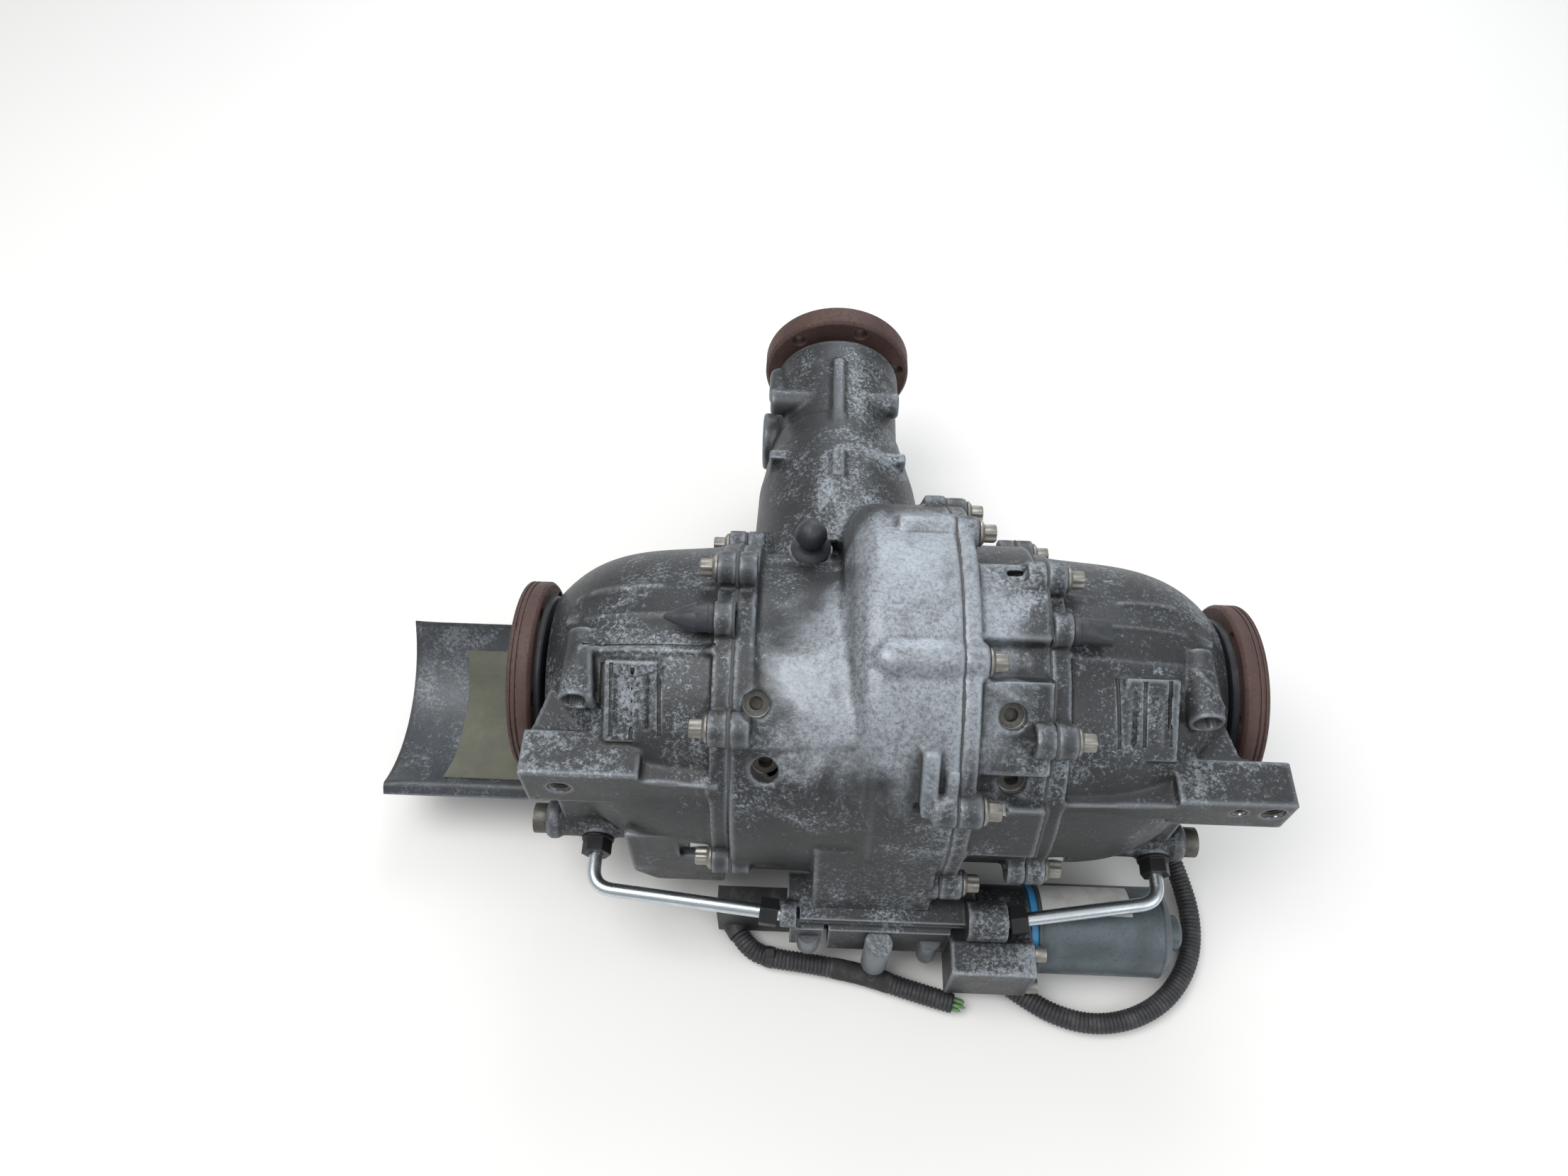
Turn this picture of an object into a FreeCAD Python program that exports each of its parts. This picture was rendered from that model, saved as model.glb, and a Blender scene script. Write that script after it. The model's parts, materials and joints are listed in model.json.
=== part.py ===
import FreeCAD, Part
import Sketcher
import math
import os

from FreeCAD import Placement, Rotation, Vector

# Rear differential with a torque vectoring clutch on each side.
# Millimetres. The part frame has its origin at the centre of the input flange's front face,
# +Y forwards along the pinion, +X to the right output, +Z up.
# Every piece is drawn about the axle centre, midway between the two output flanges,
# and is then placed in the part frame by axle_offset and nose_length.

sizes = {
    # Overall layout
    "axle_offset": 30, "nose_length": 290, "half_span": 225,
    "left_parting": 89, "centre_parting": 37.5, "right_parting": 88.5,
    "wall": 8, "fit_gap": 0.3, "running_gap": 0.05,
    # Centre housing
    "barrel_radius": 98, "barrel_back": 15.4, "barrel_drop": 10.3, "blanket_step": 3,
    "blanket_back": 79, "bulge_radius": 117, "bulge_start": 15, "bulge_blend": 12,
    "swell_radius": 88, "swell_back": 24, "swell_rise": 8, "boss_radius": 10, "front_boss_radius": 7,
    "flange_thickness": 12, "flange_radius": 97, "rim_back": 10, "rim_drop": 1.5,
    "neck_left": 39, "neck_right": 33, "neck_back": 129, "neck_bottom": 49, "neck_top": 9,
    # Nose
    "nose_end": 266, "nose_radius": 44.5, "nose_root": 96, "flare_start": 190, "waist_radius": 46,
    "flare_radius": 62, "web_y": 156, "web_thickness": 8, "web_half": 47, "web_top": 43,
    "strip_width": 8, "strip_height": 3, "strip_start": 180, "strip_end": 243,
    "low_strip_start": 126, "low_strip_end": 150, "ring_rib_y": 172,
    "nose_boss_y": 214, "nose_boss_z": 32, "nose_boss_radius": 9.3, "nose_boss_left": 49, "nose_boss_right": 44,
    "nose_boss_bore": 5, "nose_boss_depth": 20, "lug_y": 209, "lug_radius": 21,
    # Side covers, as sections at a distance from the axle centre
    "cover_at_a": 137, "cover_at_b": 165, "cover_at_c": 185, "cover_end": 203,
    "cover_r_flange": 98, "cover_r_a": 93, "cover_r_b": 85, "cover_r_c": 72, "cover_r_end": 53,
    "cover_flange": 11, "cavity_radius": 74, "cavity_outer_radius": 62,
    "ear_face": 94, "ear_z": 38, "ear_half_height": 19, "right_ear_top": 50, "ear_depth": 28,
    "ear_hole_radius": 6.5,
    "left_ear_in": 139, "left_ear_out": 207, "left_ear_hole": 186,
    "right_ear_in": 163, "right_ear_out": 229, "right_ear_hole": 218.5, "right_ear_small": 199,
    "ear_small_radius": 4.25, "ear_hole_depth": 28,
    "gallery_y": 79, "gallery_z": 45, "gallery_radius": 10.5, "gallery_end": 210,
    "right_gallery_end": 196, "gallery_plug": 8,
    "tab_in": 95, "tab_out": 153, "tab_front": 94, "tab_thickness": 10, "tab_top": 5, "tab_bottom": 80,
    "sensor_x": 190, "sensor_y": 40, "sensor_seat": 58, "sensor_radius": 9.5, "sensor_end": 72,
    "post_x": 177, "post_z": 72, "post_mouth": 56, "post_length": 44, "post_radius": 10,
    "post_bore": 7.5, "post_depth": 30, "fin_thickness": 5,
    "panel_angle": 127, "panel_in": 130, "panel_out": 161, "panel_height": 46, "panel_top": 93,
    "groove_width": 3, "groove_depth": 2,
    # Fasteners
    "bolt_shank": 4, "bolt_collar": 8, "bolt_collar_thick": 2.5, "bolt_head": 5.4, "bolt_head_height": 8,
    "bolt_grip": 24, "bolt_boss": 11.5, "joint_boss": 14,
    # Breather caps: the centre one stands on the barrel, the side ones lie along the axle
    "cap_x": 47, "cap_y": 58, "cap_seat": 68, "side_cap_y": 15, "side_cap_z": 100, "side_cap_radius": 8.5,
    # Input side
    "input_radius": 55, "input_thickness": 16.7, "input_hub": 24, "input_pcd_radius": 46, "input_hole": 5,
    "input_recess": 30, "input_recess_depth": 5, "pinion_journal": 20, "pinion_stem": 16,
    "rear_bearing_y": 95, "rear_bearing_width": 24, "rear_bearing_radius": 36,
    "front_bearing_y": 206, "front_bearing_width": 22, "front_bearing_radius": 33,
    "input_seal_y": 250, "input_seal_width": 12, "input_seal_radius": 33,
    # Crown wheel and pinion
    "ring_teeth": 39, "pinion_teeth": 11, "ring_pitch_radius": 90, "face_width": 27,
    "tooth_rise": 3.3, "tooth_drop": 4.5, "tooth_share": 0.8, "blank_margin": 0.4,
    "ring_back": 26, "ring_bore": 60, "ring_bolt_circle": 74,
    # Differential case and its gears
    "case_radius": 52, "case_left": 60, "case_flange_radius": 88, "case_flange_thick": 11,
    "journal_radius": 30, "journal_bore": 19, "left_journal_end": 87, "right_journal_end": 80,
    "side_teeth": 16, "spider_teeth": 10, "side_pitch_radius": 26, "bevel_width": 9,
    "small_rise": 2.2, "small_drop": 3.0, "pin_radius": 7.5, "pin_half_length": 47,
    "bearing_bore": 50, "bearing_width": 20, "shaft_radius": 16,
    # Output side
    "output_radius": 60, "output_thickness": 14.6, "output_pcd_radius": 51, "output_hole": 5.25,
    "output_hub": 27, "hub_start": 198, "rim_groove": 1.2, "output_recess": 36, "output_recess_depth": 4,
    "output_bearing_at": 178, "output_bearing_width": 15, "output_bearing_radius": 38,
    "output_seal_at": 195, "output_seal_radius": 40, "dust_ring_radius": 51, "dust_ring_width": 3.6,
    # Clutch
    "drum_start": 104, "drum_end": 150, "drum_radius": 66, "drum_wall": 4, "hub_radius": 34,
    "plate_count": 6, "plate_pitch": 5, "clutch_plate": 2, "plates_start": 112, "piston_travel": 1.5,
    "piston_at": 158.5, "piston_thick": 9, "piston_radius": 56, "piston_bore": 32, "piston_nose": 40,
    # Oil supply unit
    "unit_y": 133, "unit_z": 50, "plate_left": 54, "plate_right": 62, "plate_back": 136, "plate_front": 107,
    "plate_thick": 8, "plate_groove": 2.5, "side_block_left": 52, "side_block_right": 31,
    "side_block_bottom": 86,
    "block_back": 140, "block_front": 112, "body_left": 28, "body_bottom": 95,
    "union_start": 56, "union_radius": 12, "union_right": 80, "union_bore": 4.4, "union_depth": 12,
    "left_union_end": 58, "left_union_radius": 8,
    "pump_left": 47, "pump_right": 99, "pump_back": 163, "pump_front": 125, "pump_top": 59.5,
    "pump_bottom": 104,
    "motor_y": 123, "motor_z": 90, "motor_radius": 28, "motor_left": 103, "motor_right": 187, "motor_wall": 3,
    "motor_boss": 11, "motor_boss_length": 11, "motor_shaft": 4, "rotor_radius": 19,
    "pipe_radius": 4.3, "pipe_bend": 14, "pipe_nut": 9.5, "pipe_nut_height": 11, "pipe_port_x": 175,
    "pipe_port_y": 90, "pipe_port_z": 47, "left_corner_y": 122, "right_corner_y": 118,
    # Heat shield
    "shield_radius": 80, "shield_sheet": 1.6, "shield_left": 326, "shield_right": 182,
    "shield_front": -36, "shield_rear": -128, "shield_lip": 9, "pad_thickness": 3,
    "shield_post_x": 190, "shield_post_radius": 8, "shield_screw_head": 7,
    "pad_left": 288, "pad_right": 206, "pad_front": -50, "pad_rear": -124,
    # Wiring
    "conduit_radius": 6.5,
    # Pump screws
    "screw_radius": 3, "screw_head": 5, "screw_head_height": 7,
}


class Size:
    """A number together with the sheet formula that gives it."""

    def __init__(self, value, text):
        self.value = float(value)
        self.text = text

    def __add__(self, other):
        other = size(other)
        return Size(self.value + other.value, f"({self.text} + {other.text})")

    def __sub__(self, other):
        other = size(other)
        return Size(self.value - other.value, f"({self.text} - {other.text})")

    def __mul__(self, other):
        other = size(other)
        return Size(self.value * other.value, f"({self.text} * {other.text})")

    def __truediv__(self, other):
        other = size(other)
        return Size(self.value / other.value, f"({self.text} / {other.text})")

    def __neg__(self):
        return Size(-self.value, f"(0 - {self.text})")

    def __radd__(self, other):
        return size(other) + self

    def __rsub__(self, other):
        return size(other) - self

    def __rmul__(self, other):
        return size(other) * self


class Sheet:
    """The driving sizes by name."""

    def __init__(self, table):
        self.__dict__.update(table)


def size(number):
    """A plain number as a Size, or a Size as it is."""
    if isinstance(number, Size):
        return number
    return Size(number, f"{number:.6f}")


doc = FreeCAD.newDocument("rear_differential")
table = doc.addObject("Spreadsheet::Sheet", "dims")
for row, (name, number) in enumerate(sizes.items(), start=1):
    table.set(f"A{row}", name)
    table.set(f"B{row}", str(number))
    table.setAlias(f"B{row}", name)
doc.recompute()
d = Sheet({name: Size(number, "dims." + name) for name, number in sizes.items()})

nodes = []
spots = {}
AXIS_TURN = {"x": Rotation(Vector(0, 1, 0), 90), "y": Rotation(Vector(1, 0, 0), -90), "z": Rotation()}
LATHE_TURN = {"x": Rotation(), "y": Rotation(Vector(0, 0, 1), 90), "z": Rotation(Vector(0, 1, 0), -90)}
LEFT, RIGHT = -1, 1


# Helpers that draw one feature each, tied to the sheet

def bind(thing, prop, number):
    number = size(number)
    setattr(thing, prop, number.value)
    if "dims." in number.text:
        thing.setExpression(prop, number.text)


def put(thing, x, y, z, turn=Rotation()):
    x, y, z = size(x), size(y), size(z)
    spots[thing.Name] = (x, y, z, turn)
    thing.Placement = Placement(Vector(x.value, y.value, z.value), turn)
    for letter, number in (("x", x), ("y", y), ("z", z)):
        if "dims." in number.text:
            thing.setExpression("Placement.Base." + letter, number.text)


def along(axis, distance, across, up):
    """Coordinates of a point from its distance along an axis and the other two in order."""
    if axis == "x":
        return distance, across, up
    if axis == "y":
        return across, distance, up
    return across, up, distance


def rod(axis, across, up, start, end, radius):
    start, end = size(start), size(end)
    if end.value < start.value:
        start, end = end, start
    thing = doc.addObject("Part::Cylinder", "rod")
    bind(thing, "Radius", radius)
    bind(thing, "Height", end - start)
    put(thing, *along(axis, start, across, up), AXIS_TURN[axis])
    return thing


def block(x0, x1, y0, y1, z0, z1):
    thing = doc.addObject("Part::Box", "block")
    x0, x1 = (size(x0), size(x1)) if size(x0).value < size(x1).value else (size(x1), size(x0))
    bind(thing, "Length", x1 - x0)
    bind(thing, "Width", size(y1) - y0)
    bind(thing, "Height", size(z1) - z0)
    put(thing, x0, y0, z0)
    return thing


def tilted_block(x0, x1, width, radial_low, radial_high, angle):
    """Block centred on a ray from the axle at an angle from +Y, between two radii."""
    x0, x1 = (size(x0), size(x1)) if size(x0).value < size(x1).value else (size(x1), size(x0))
    angle = size(angle)
    thing = doc.addObject("Part::Box", "block")
    bind(thing, "Length", x1 - x0)
    bind(thing, "Width", width)
    bind(thing, "Height", size(radial_high) - radial_low)
    c, s = math.cos(math.radians(angle.value)), math.sin(math.radians(angle.value))
    y = size(radial_low) * c - size(width) * (s / 2)
    z = size(radial_low) * s + size(width) * (c / 2)
    put(thing, x0, y, z, Rotation(Vector(1, 0, 0), angle.value - 90))
    return thing


def hexagon(axis, across, up, start, end, radius):
    start, end = size(start), size(end)
    if end.value < start.value:
        start, end = end, start
    thing = doc.addObject("Part::Prism", "hexagon")
    thing.Polygon = 6
    bind(thing, "Circumradius", radius)
    bind(thing, "Height", end - start)
    put(thing, *along(axis, start, across, up), AXIS_TURN[axis])
    return thing


def fuse(*parts):
    if len(parts) == 1:
        return parts[0]
    thing = doc.addObject("Part::MultiFuse", "joined")
    thing.Shapes = list(parts)
    thing.Refine = False
    return thing


def cut(base, *tools):
    thing = doc.addObject("Part::Cut", "cut")
    thing.Base = base
    thing.Tool = fuse(*tools)
    thing.Refine = False
    return thing


def common(first, second):
    thing = doc.addObject("Part::Common", "common")
    thing.Base = first
    thing.Tool = second
    return thing


def group(parts):
    thing = doc.addObject("Part::Compound", "group")
    thing.Links = list(parts)
    return thing


def tube(axis, across, up, start, end, outer, inner):
    start, end = size(start), size(end)
    if end.value < start.value:
        start, end = end, start
    return cut(rod(axis, across, up, start, end, outer), rod(axis, across, up, start - 1, end + 1, inner))


def draw(sketch, outline):
    """Closed outline of straight lines, each corner held by its two distances from the origin."""
    corners = [(size(u), size(v)) for u, v in outline]
    count = len(corners)
    for i, (u, v) in enumerate(corners):
        u2, v2 = corners[(i + 1) % count]
        sketch.addGeometry(Part.LineSegment(Vector(u.value, v.value, 0), Vector(u2.value, v2.value, 0)), False)
    for i in range(count):
        sketch.addConstraint(Sketcher.Constraint("Coincident", i, 2, (i + 1) % count, 1))
    for i, (u, v) in enumerate(corners):
        for kind, number, axis_id in (("DistanceX", u, -2), ("DistanceY", v, -1)):
            if abs(number.value) < 1e-9:
                sketch.addConstraint(Sketcher.Constraint("PointOnObject", i, 1, axis_id))
                continue
            index = sketch.addConstraint(Sketcher.Constraint(kind, i, 1, number.value))
            if "dims." in number.text:
                sketch.setExpression(f"Constraints[{index}]", number.text)


def sketch_on(body, role, outline):
    sketch = body.newObject("Sketcher::SketchObject", "outline")
    plane = [f for f in body.Origin.OriginFeatures if f.Role == role][0]
    sketch.AttachmentSupport = (plane, [""])
    sketch.MapMode = "FlatFace"
    draw(sketch, outline)
    return sketch


def lathe(axis, across, up, profile):
    """Turned piece: profile points are (distance along the axis, radius)."""
    body = doc.addObject("PartDesign::Body", "turned")
    sketch = sketch_on(body, "XZ_Plane", profile)
    turn = body.newObject("PartDesign::Revolution", "turn")
    turn.Profile = sketch
    turn.ReferenceAxis = (sketch, ["H_Axis"])
    turn.Angle = 360
    body.Tip = turn
    put(body, *along(axis, 0, across, up), LATHE_TURN[axis])
    return body


def fin(angle, outline, thickness):
    """Flat rib along the axle, standing at an angle from +Y: outline points are (x, radius)."""
    body = doc.addObject("PartDesign::Body", "fin")
    sketch = sketch_on(body, "XZ_Plane", outline)
    pad = body.newObject("PartDesign::Pad", "pad")
    pad.Profile = sketch
    bind(pad, "Length", thickness)
    pad.Midplane = True
    body.Tip = pad
    put(body, 0, 0, 0, Rotation(Vector(1, 0, 0), angle - 90))
    return body


def slab(plane, outline, start, end):
    """Plate of constant thickness between two planes."""
    start, end = size(start), size(end)
    if end.value < start.value:
        start, end = end, start
    body = doc.addObject("PartDesign::Body", "slab")
    sketch = sketch_on(body, plane.upper() + "_Plane", outline)
    pad = body.newObject("PartDesign::Pad", "pad")
    pad.Profile = sketch
    bind(pad, "Length", end - start)
    body.Tip = pad
    if plane == "yz":
        put(body, start, 0, 0)
    elif plane == "xz":
        put(body, 0, end, 0)
    else:
        put(body, 0, 0, start)
    return body


def circle(axis, distance, across, up, radius):
    thing = doc.addObject("Part::Circle", "circle")
    bind(thing, "Radius", radius)
    put(thing, *along(axis, distance, across, up), AXIS_TURN[axis])
    return thing


def loft(sections, ruled=False):
    thing = doc.addObject("Part::Loft", "loft")
    thing.Sections = sections
    thing.Solid = True
    thing.Ruled = ruled
    return thing


def node(thing, label):
    """Name a finished piece and seat it in the part frame."""
    x, y, z, turn = spots.get(thing.Name, (size(0), size(0), size(0), Rotation()))
    put(thing, x + d.axle_offset, y - d.nose_length, z, turn)
    thing.Label = label
    nodes.append(thing)
    return thing


def solid_node(shape, label):
    """A piece whose shape comes from Part's own functions, about the axle centre."""
    thing = doc.addObject("Part::Feature", "formed")
    thing.Shape = shape
    return node(thing, label)


def polar(radius, angle):
    """Y and Z of a point at a radius and an angle from +Y, about the axle."""
    return size(radius) * math.cos(math.radians(angle)), size(radius) * math.sin(math.radians(angle))


def bolt(axis, across, up, seat, out, grip):
    """Flanged bolt: seat is where its collar rests, out is the way its head points."""
    seat = size(seat)
    shank = rod(axis, across, up, seat - grip * out, seat, d.bolt_shank)
    collar = rod(axis, across, up, seat, seat + d.bolt_collar_thick * out, d.bolt_collar)
    head = hexagon(axis, across, up, seat + d.bolt_collar_thick * out,
                   seat + (d.bolt_collar_thick + d.bolt_head_height) * out, d.bolt_head)
    return fuse(shank, collar, head)


# Bolt circle of each parting face: (radius, angle from +Y in degrees)
SIDE_BOLTS = ((101, 78.6), (111, 132.4), (92, 17.1), (110, 193.2), (107, 232), (103, 270), (97, 318))
CENTRE_BOLTS = ((112, 63.2), (110, 110.8), (118, 152.8), (120, 196), (118, 232), (106, 270), (116, 322),
                (112.5, 35))
pinion_x = -d.axle_offset
NOSE_BOSSES = ((LEFT, d.nose_boss_left), (RIGHT, d.nose_boss_right))


# Centre housing

def nose():
    """Tube round the pinion, flaring into the barrel."""
    end = rod("y", pinion_x, 0, d.flare_start, d.nose_end, d.nose_radius)
    collar = lathe("y", pinion_x, 0, [
        (d.nose_end - 26, 0), (d.nose_end - 26, d.nose_radius), (d.nose_end - 20, d.nose_radius + 2),
        (d.nose_end - 3, d.nose_radius + 2), (d.nose_end, d.nose_radius), (d.nose_end, 0)])
    flare = loft([circle("y", d.flare_start + 4, pinion_x, 0, d.waist_radius),
                  circle("y", d.web_y - 6, pinion_x + 1, 0, d.waist_radius + 9),
                  circle("y", d.nose_root - 24, pinion_x + 5.5, -2, d.flare_radius)], ruled=True)
    web = block(pinion_x - d.web_half, pinion_x + d.web_half, d.web_y - d.web_thickness / 2,
                d.web_y + d.web_thickness / 2, -d.web_top * 0.6, d.web_top)
    ring_rib = lathe("y", pinion_x, 0, [
        (d.ring_rib_y - 5, 0), (d.ring_rib_y - 5, d.waist_radius), (d.ring_rib_y, d.waist_radius + 5),
        (d.ring_rib_y + 5, d.waist_radius), (d.ring_rib_y + 5, 0)])
    strip = block(pinion_x - d.strip_width / 2, pinion_x + d.strip_width / 2, d.strip_start, d.strip_end,
                  0, d.waist_radius + d.strip_height)
    low_strip = block(pinion_x - d.strip_width / 2, pinion_x + d.strip_width / 2, d.low_strip_start,
                      d.low_strip_end, 0, d.waist_radius + 14)
    bosses = [rod("x", d.nose_boss_y, d.nose_boss_z, pinion_x, pinion_x + reach * side, d.nose_boss_radius)
              for side, reach in NOSE_BOSSES]
    lug = rod("y", pinion_x - 42, 14, d.nose_end - 34, d.nose_end - 8, 9)
    sensor_lug = rod("x", d.lug_y, -6, pinion_x - 54, pinion_x, d.lug_radius)
    return fuse(end, collar, flare, web, ring_rib, strip, low_strip, *bosses, lug, sensor_lug)


def barrel():
    """Eccentric shell round the case, with the crown wheel bulge on its right."""
    back, drop = -d.barrel_back, -d.barrel_drop

    def shell(step):
        return rod("x", back, drop, -d.left_parting, d.centre_parting, d.barrel_radius + step)

    def swell(step):
        return loft([circle("x", -d.left_parting + 2, back, drop, d.barrel_radius - 2 + step),
                     circle("x", -d.bulge_start + 6, -d.swell_back, d.swell_rise, d.swell_radius + step)],
                    ruled=True)

    raised = common(fuse(shell(d.blanket_step), swell(d.blanket_step)),
                    slab("yz", [(-d.blanket_back, 60), (130, 20), (130, 140), (-d.blanket_back, 140)],
                         -d.left_parting, d.centre_parting))
    bulge = lathe("x", 0, 0, [
        (-d.bulge_start - d.bulge_blend, 0), (-d.bulge_start - d.bulge_blend, d.bulge_radius - 22),
        (-d.bulge_start - d.bulge_blend * 0.5, d.bulge_radius - 9), (-d.bulge_start, d.bulge_radius - 2.5),
        (-d.bulge_start + 6, d.bulge_radius), (d.centre_parting, d.bulge_radius), (d.centre_parting, 0)])
    return fuse(shell(0), swell(0), raised, bulge)


def bosses_round(edge, inward, bolts, length):
    """A round boss at each bolt of a parting face."""
    pieces = []
    for bolt_radius, angle in bolts:
        y, z = polar(bolt_radius, angle)
        pieces.append(rod("x", y, z, edge, edge + length * inward, d.boss_radius))
    return pieces


def side_rim(edge, inward, thickness):
    """Rim of a side cover's parting face, set back from the axle like the barrel."""
    edge = size(edge)
    rim = rod("x", -d.rim_back, -d.rim_drop, edge, edge + thickness * inward, d.flange_radius)
    return [rim] + bosses_round(edge, inward, SIDE_BOLTS, d.bolt_boss)


def joint_rim(edge, inward, thickness):
    """Rim of the joint behind the crown wheel."""
    edge = size(edge)
    rim = rod("x", 0, 0, edge, edge + thickness * inward, d.bulge_radius)
    return [rim] + bosses_round(edge, inward, CENTRE_BOLTS, d.joint_boss)


def bolt_bores(edge, inward, bolts, radius, depth):
    edge = size(edge)
    holes = []
    for bolt_radius, angle in bolts:
        y, z = polar(bolt_radius, angle)
        holes.append(rod("x", y, z, edge - inward * 1, edge + depth * inward, radius))
    return holes


def spot_faces(seat, out, bolts):
    """Flat seats cut round the bolt heads of a parting face."""
    seat = size(seat)
    faces = []
    for bolt_radius, angle in bolts:
        y, z = polar(bolt_radius, angle)
        faces.append(rod("x", y, z, seat, seat + (d.bolt_head_height + d.bolt_collar_thick + 4) * out,
                         d.bolt_collar + 1))
    return faces


def main_housing():
    left_rim = side_rim(-d.left_parting, RIGHT, d.flange_thickness)
    right_rim = joint_rim(d.centre_parting, LEFT, d.flange_thickness)
    front_y, front_z = polar(*SIDE_BOLTS[2])
    front_boss = rod("x", front_y, front_z, -d.left_parting, -d.left_parting + 44, d.front_boss_radius)
    upper_y, upper_z = polar(*CENTRE_BOLTS[0])
    upper_boss = rod("x", upper_y, upper_z, 4, d.centre_parting, 11)
    top_lug = rod("x", 93, 71, 24, d.centre_parting, 6.5)
    middle_y, middle_z = polar(*CENTRE_BOLTS[1])
    middle_boss = rod("x", middle_y, middle_z, -2, d.centre_parting, 12)
    middle_end = doc.addObject("Part::Sphere", "boss_end")
    bind(middle_end, "Radius", 12)
    put(middle_end, -2, middle_y, middle_z)
    fork = [tilted_block(16, 26, 40, 96, 124, 144), tilted_block(30, 37, 30, 96, 122, 147)]
    low_boss = rod("x", -101, 52, 22, d.centre_parting, 10)
    neck = slab("yz", [(-60, d.neck_top + 12), (-d.neck_back + 15, d.neck_top), (-d.neck_back, -d.neck_bottom),
                       (-60, -d.neck_bottom)], -d.neck_left, d.neck_right)
    breather_seat = rod("z", -d.cap_x, d.cap_y, 40, d.cap_seat, 14)
    foot = rod("x", 0, -106, -40, 20, 13.7)
    outer = fuse(nose(), barrel(), *left_rim, *right_rim, front_boss, upper_boss, top_lug, middle_boss,
                 middle_end, *fork, low_boss, neck, breather_seat, foot)
    cavity = rod("x", -d.barrel_back, -d.barrel_drop, -d.left_parting + 22, d.centre_parting + 1,
                 d.barrel_radius - d.wall)
    ring_room = rod("x", 0, 0, -d.bulge_start + 6, d.centre_parting + 1, d.bulge_radius - d.wall)
    tooth_room = rod("x", 0, 0, -d.bulge_start - 5, -d.bulge_start + 7, d.ring_pitch_radius + 7)
    bearing_seat = rod("x", 0, 0, -d.left_parting - 1, -d.left_parting + 24, d.bearing_bore)
    pinion_bore = rod("y", pinion_x, 0, 40, d.nose_end + 1, d.front_bearing_radius)
    rear_seat = rod("y", pinion_x, 0, 40, d.rear_bearing_y + d.rear_bearing_width, d.rear_bearing_radius)
    seal_seat = rod("y", pinion_x, 0, d.input_seal_y, d.nose_end + 1, d.input_seal_radius)
    nose_holes = [rod("x", d.nose_boss_y, d.nose_boss_z, pinion_x + (reach + 1) * side,
                      pinion_x + (reach - d.nose_boss_depth) * side, d.nose_boss_bore)
                  for side, reach in NOSE_BOSSES]
    breather_hole = rod("z", -d.cap_x, d.cap_y, 30, d.cap_seat + 1, 5)
    tapped = d.bolt_shank + 0.1
    holes = bolt_bores(-d.left_parting, RIGHT, SIDE_BOLTS, tapped, d.bolt_grip)
    holes += bolt_bores(d.centre_parting, LEFT, CENTRE_BOLTS, tapped, d.bolt_grip)
    plugs = [radial_rod(x, y, z, 60, 130, 7.6) for x, y, z in LEFT_PLUGS]
    return node(cut(outer, cavity, ring_room, tooth_room, bearing_seat, pinion_bore, rear_seat, seal_seat,
                    *nose_holes, breather_hole, *holes, *plugs), "main_housing")


LEFT_PLUGS = ((-75, -60, 83), (-69, -88, 57))
RIGHT_PLUGS = ((66, -63, 86), (69, -91, 56))


def radial_rod(x, y, z, start, end, radius):
    """Rod along the ray from the axle through a point, between two radii."""
    start, end = size(start), size(end)
    angle = math.degrees(math.atan2(z, y))
    thing = doc.addObject("Part::Cylinder", "radial")
    bind(thing, "Radius", radius)
    bind(thing, "Height", end - start)
    c, s = math.cos(math.radians(angle)), math.sin(math.radians(angle))
    put(thing, x, start * c, start * s, Rotation(Vector(1, 0, 0), angle - 90))
    return thing


# Angles from +Y of the posts that carry the heat shield
SHIELD_POSTS = (-60, -112)


def shield_rods(start, end, radius):
    """A rod between two radii along the axis of each heat shield post."""
    rods = []
    for angle in SHIELD_POSTS:
        y, z = math.cos(math.radians(angle)), math.sin(math.radians(angle))
        rods.append(radial_rod(-d.shield_post_x, y, z, start, end, radius))
    return rods


def fill_plugs():
    plugs = []
    for spots_list, face in ((LEFT_PLUGS, 97), (RIGHT_PLUGS, 102)):
        for x, y, z in spots_list:
            body = radial_rod(x, y, z, face - 13, face - 3, 7.4)
            socket = radial_rod(x, y, z, face - 9, face, 4)
            plugs.append(cut(body, socket))
    return node(group(plugs), "fill_plugs")


# Right intermediate housing

def intermediate_housing():
    start, end = d.centre_parting, d.right_parting
    shell = rod("x", -6, -4, start, end, 100)
    left_rim = joint_rim(start, RIGHT, d.cover_flange - 1)
    right_rim = side_rim(end, LEFT, d.flange_thickness)
    top_block = tilted_block(start, end, 52, 70, 104, 89)
    mid_block = tilted_block(start, end, 53, 70, 107, 130)
    back_block = tilted_block(start + 8, end, 44, 80, 112, 165)
    outer = fuse(shell, *left_rim, *right_rim, top_block, mid_block, back_block)
    ring_room = rod("x", 0, 0, start - 1, start + 20, 92)
    bearing_seat = rod("x", 0, 0, start - 1, end + 1, d.bearing_bore)
    clutch_room = rod("x", 0, 0, end - 8, end + 1, d.cavity_radius)
    clearance = d.bolt_shank + 0.5
    holes = bolt_bores(start, RIGHT, CENTRE_BOLTS, clearance, 15)
    holes += bolt_bores(end, LEFT, SIDE_BOLTS, d.bolt_shank + 0.1, d.bolt_grip)
    holes += spot_faces(start + d.joint_boss, RIGHT, CENTRE_BOLTS)
    plugs = [radial_rod(x, y, z, 76, 130, 7.6) for x, y, z in RIGHT_PLUGS]
    return node(cut(outer, ring_room, bearing_seat, clutch_room, *holes, *plugs), "intermediate_housing")


# Side covers

def gallery_mouth(side):
    """Distance of an oil gallery's open end from the axle centre."""
    return d.gallery_end if side == LEFT else d.right_gallery_end


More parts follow.
